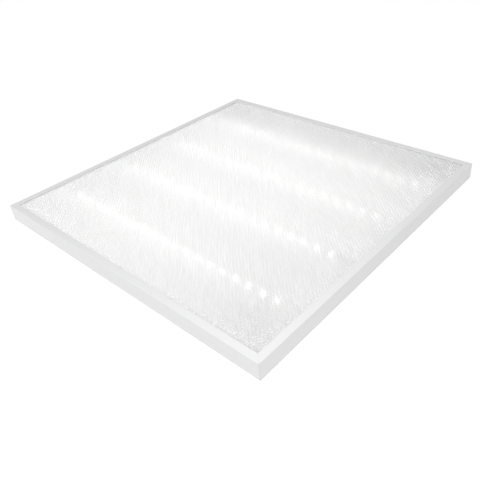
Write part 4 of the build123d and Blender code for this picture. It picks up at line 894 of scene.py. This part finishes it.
def tube_shape(path, radius, sides=14):
    """A round tube along a level path: at each path point a circle of that radius stands square to it.

    The circle's points are path + radius * (cos(a) * across + sin(a) * over), with across and over both
    square to the path's direction. Across is level, since the path is.
    """
    heading = np.gradient(path, axis=0)
    heading /= np.linalg.norm(heading, axis=1, keepdims=True)
    across = np.cross([0.0, 0.0, 1.0], heading)
    across /= np.linalg.norm(across, axis=1, keepdims=True)
    over = np.cross(heading, across)
    angles = np.linspace(0, 2 * math.pi, sides, endpoint=False)[None, :, None]
    rings = path[:, None] + radius * (np.cos(angles) * across[:, None] + np.sin(angles) * over[:, None])
    return closed_rings(rings, path[0], path[-1])


print("a square corner becomes", len(rounded_route([(0, 0, 0), (9, 0, 0), (9, 9, 0)], 2)) - 2, "points")

# %% Jumper wires
wire_level, wire_bend, wire_radius = 20.0 * mm, 5.0 * mm, 0.78 * mm
wire_inset, wire_smooth = 1.5 * mm, 60


def jumper_route(row, reach, shift):
    """Out from a board's connector by reach past its end, across to the next row, and back in."""
    start, end = row_places[row] + shift, row_places[row + 1] - shift
    outer, inner = -(board_half + reach), -(board_half - wire_inset)
    flat = [(inner, start), (outer, start), (outer, end), (inner, end)]
    return rounded_route([(x, y, wire_level) for x, y in flat], wire_bend)


for name, node, slot_name, reach, shift in (
    ("jumper_loops_positive", "jumper_wires_positive", "wire_red", 16.0, 2.4),
    ("jumper_loops_negative", "jumper_wires_negative", "wire_black", 12.4, 4.8),
):
    routes = [jumper_route(row, reach * mm, shift * mm) for row in range(row_count - 1)]
    shapes = [tube_shape(path, wire_radius) for path in routes]
    points = np.concatenate([shape[0] for shape in shapes])
    offsets = np.cumsum([0] + [len(shape[0]) for shape in shapes[:-1]])
    faces = [block + offset for (_, blocks), offset in zip(shapes, offsets) for block in blocks]
    piece = make_piece(name, points, faces, finishes[slot_name], "luminaire", wire_smooth)
    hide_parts(node)

# %% [markdown]
# ## Floor, world and light
# The photo is a cut-out on white, so the floor and the world look white to the camera and in reflections.
# Strong lamps could whiten the floor too, but they would wash out the panel. So the floor gets a glow that
# only the camera, reflections and clear material show, and the soft shadow under the panel stays. The light
# itself is plain: an even white world and three soft boxes. One stands above the near corner, which the photo
# has brightest, and one at each side; the left one is the stronger, because the left side of the frame is a
# little brighter than the right.

# %% Floor
floor_reach, floor_drop, floor_glow = 6.0, 0.3 * mm, 0.53


def seen_directly(tree):
    """A mask of 1 for rays from the camera, mirror reflections and rays through clear material."""
    path = tree.nodes.new("ShaderNodeLightPath")
    first = maths(tree, "ADD", path.outputs["Is Camera Ray"], path.outputs["Is Glossy Ray"])
    return maths(tree, "ADD", first, path.outputs["Is Transmission Ray"], clamp=True)


floor_finish, tree, shader, _ = new_material("studio_floor")
shader.inputs["Base Color"].default_value = (0.72, 0.72, 0.72, 1.0)
shader.inputs["Roughness"].default_value = 0.9
shader.inputs["Specular IOR Level"].default_value = 0.1
shader.inputs["Emission Strength"].default_value = 1.0
feed(tree, maths(tree, "MULTIPLY", seen_directly(tree), floor_glow), shader.inputs["Emission Color"])
floor_finish.cycles.emission_sampling = "NONE"
floor_mesh = bpy.data.meshes.new("studio_floor")
floor_corners = [(sx * floor_reach, sy * floor_reach, -floor_drop) for sx, sy in corner_pairs]
floor_mesh.from_pydata(floor_corners, [], [(0, 1, 2, 3)])
floor_mesh.materials.append(floor_finish)
floor = bpy.data.objects.new("studio_floor", floor_mesh)
bpy.context.scene.collection.objects.link(floor)
print("floor", 2 * floor_reach, "m square,", round(floor_drop / mm, 2), "mm under the panel")

# %% World
sky_strength = 0.61
white = (1.0, 1.0, 1.0, 1.0)
world = bpy.data.worlds.new("studio_world")
bpy.context.scene.world = world
world.use_nodes = True
tree = world.node_tree
lighting = tree.nodes["Background"]
shown_world = tree.nodes.new("ShaderNodeBackground")
for background, strength in ((lighting, sky_strength), (shown_world, 1.0)):
    background.inputs["Color"].default_value = white
    background.inputs["Strength"].default_value = strength
chooser = tree.nodes.new("ShaderNodeMixShader")
for value, socket in zip((seen_directly(tree), lighting.outputs[0], shown_world.outputs[0]), chooser.inputs):
    feed(tree, value, socket)
feed(tree, chooser.outputs[0], tree.nodes["World Output"].inputs["Surface"])
print("world lights with", sky_strength, "and shows as 1")


# %% Lamps of the studio
def soft_box(name, place, target, size, power):
    """A square area light at place that faces target; size is its side in metres, power is in watts."""
    light = bpy.data.lights.new(name, "AREA")
    light.shape = "SQUARE"
    light.size = size
    light.energy = power
    lamp_object = bpy.data.objects.new(name, light)
    away = np.array(place, dtype=float) - np.array(target, dtype=float)
    away /= np.linalg.norm(away)
    side = np.cross([0.0, 1.0, 0.0] if abs(away[2]) > 0.9 else [0.0, 0.0, 1.0], away)
    side /= np.linalg.norm(side)
    over = np.cross(away, side)
    lamp_object.matrix_world = Matrix([
        [side[0], over[0], away[0], place[0]],
        [side[1], over[1], away[1], place[1]],
        [side[2], over[2], away[2], place[2]],
        [0.0, 0.0, 0.0, 1.0],
    ])
    lamp_object.visible_camera = False
    bpy.context.scene.collection.objects.link(lamp_object)
    print(name, power, "W")


soft_box("box_near", (0.4, -0.4, 0.7), (0.399, -0.399, 0.0), 0.3, 1.92)
soft_box("box_left", (-1.5, -1.6, 0.5), (0.0, 0.0, 0.05), 0.8, 12.0)
soft_box("box_right", (2.0, 0.4, 0.5), (0.0, 0.0, 0.05), 0.8, 3.5)
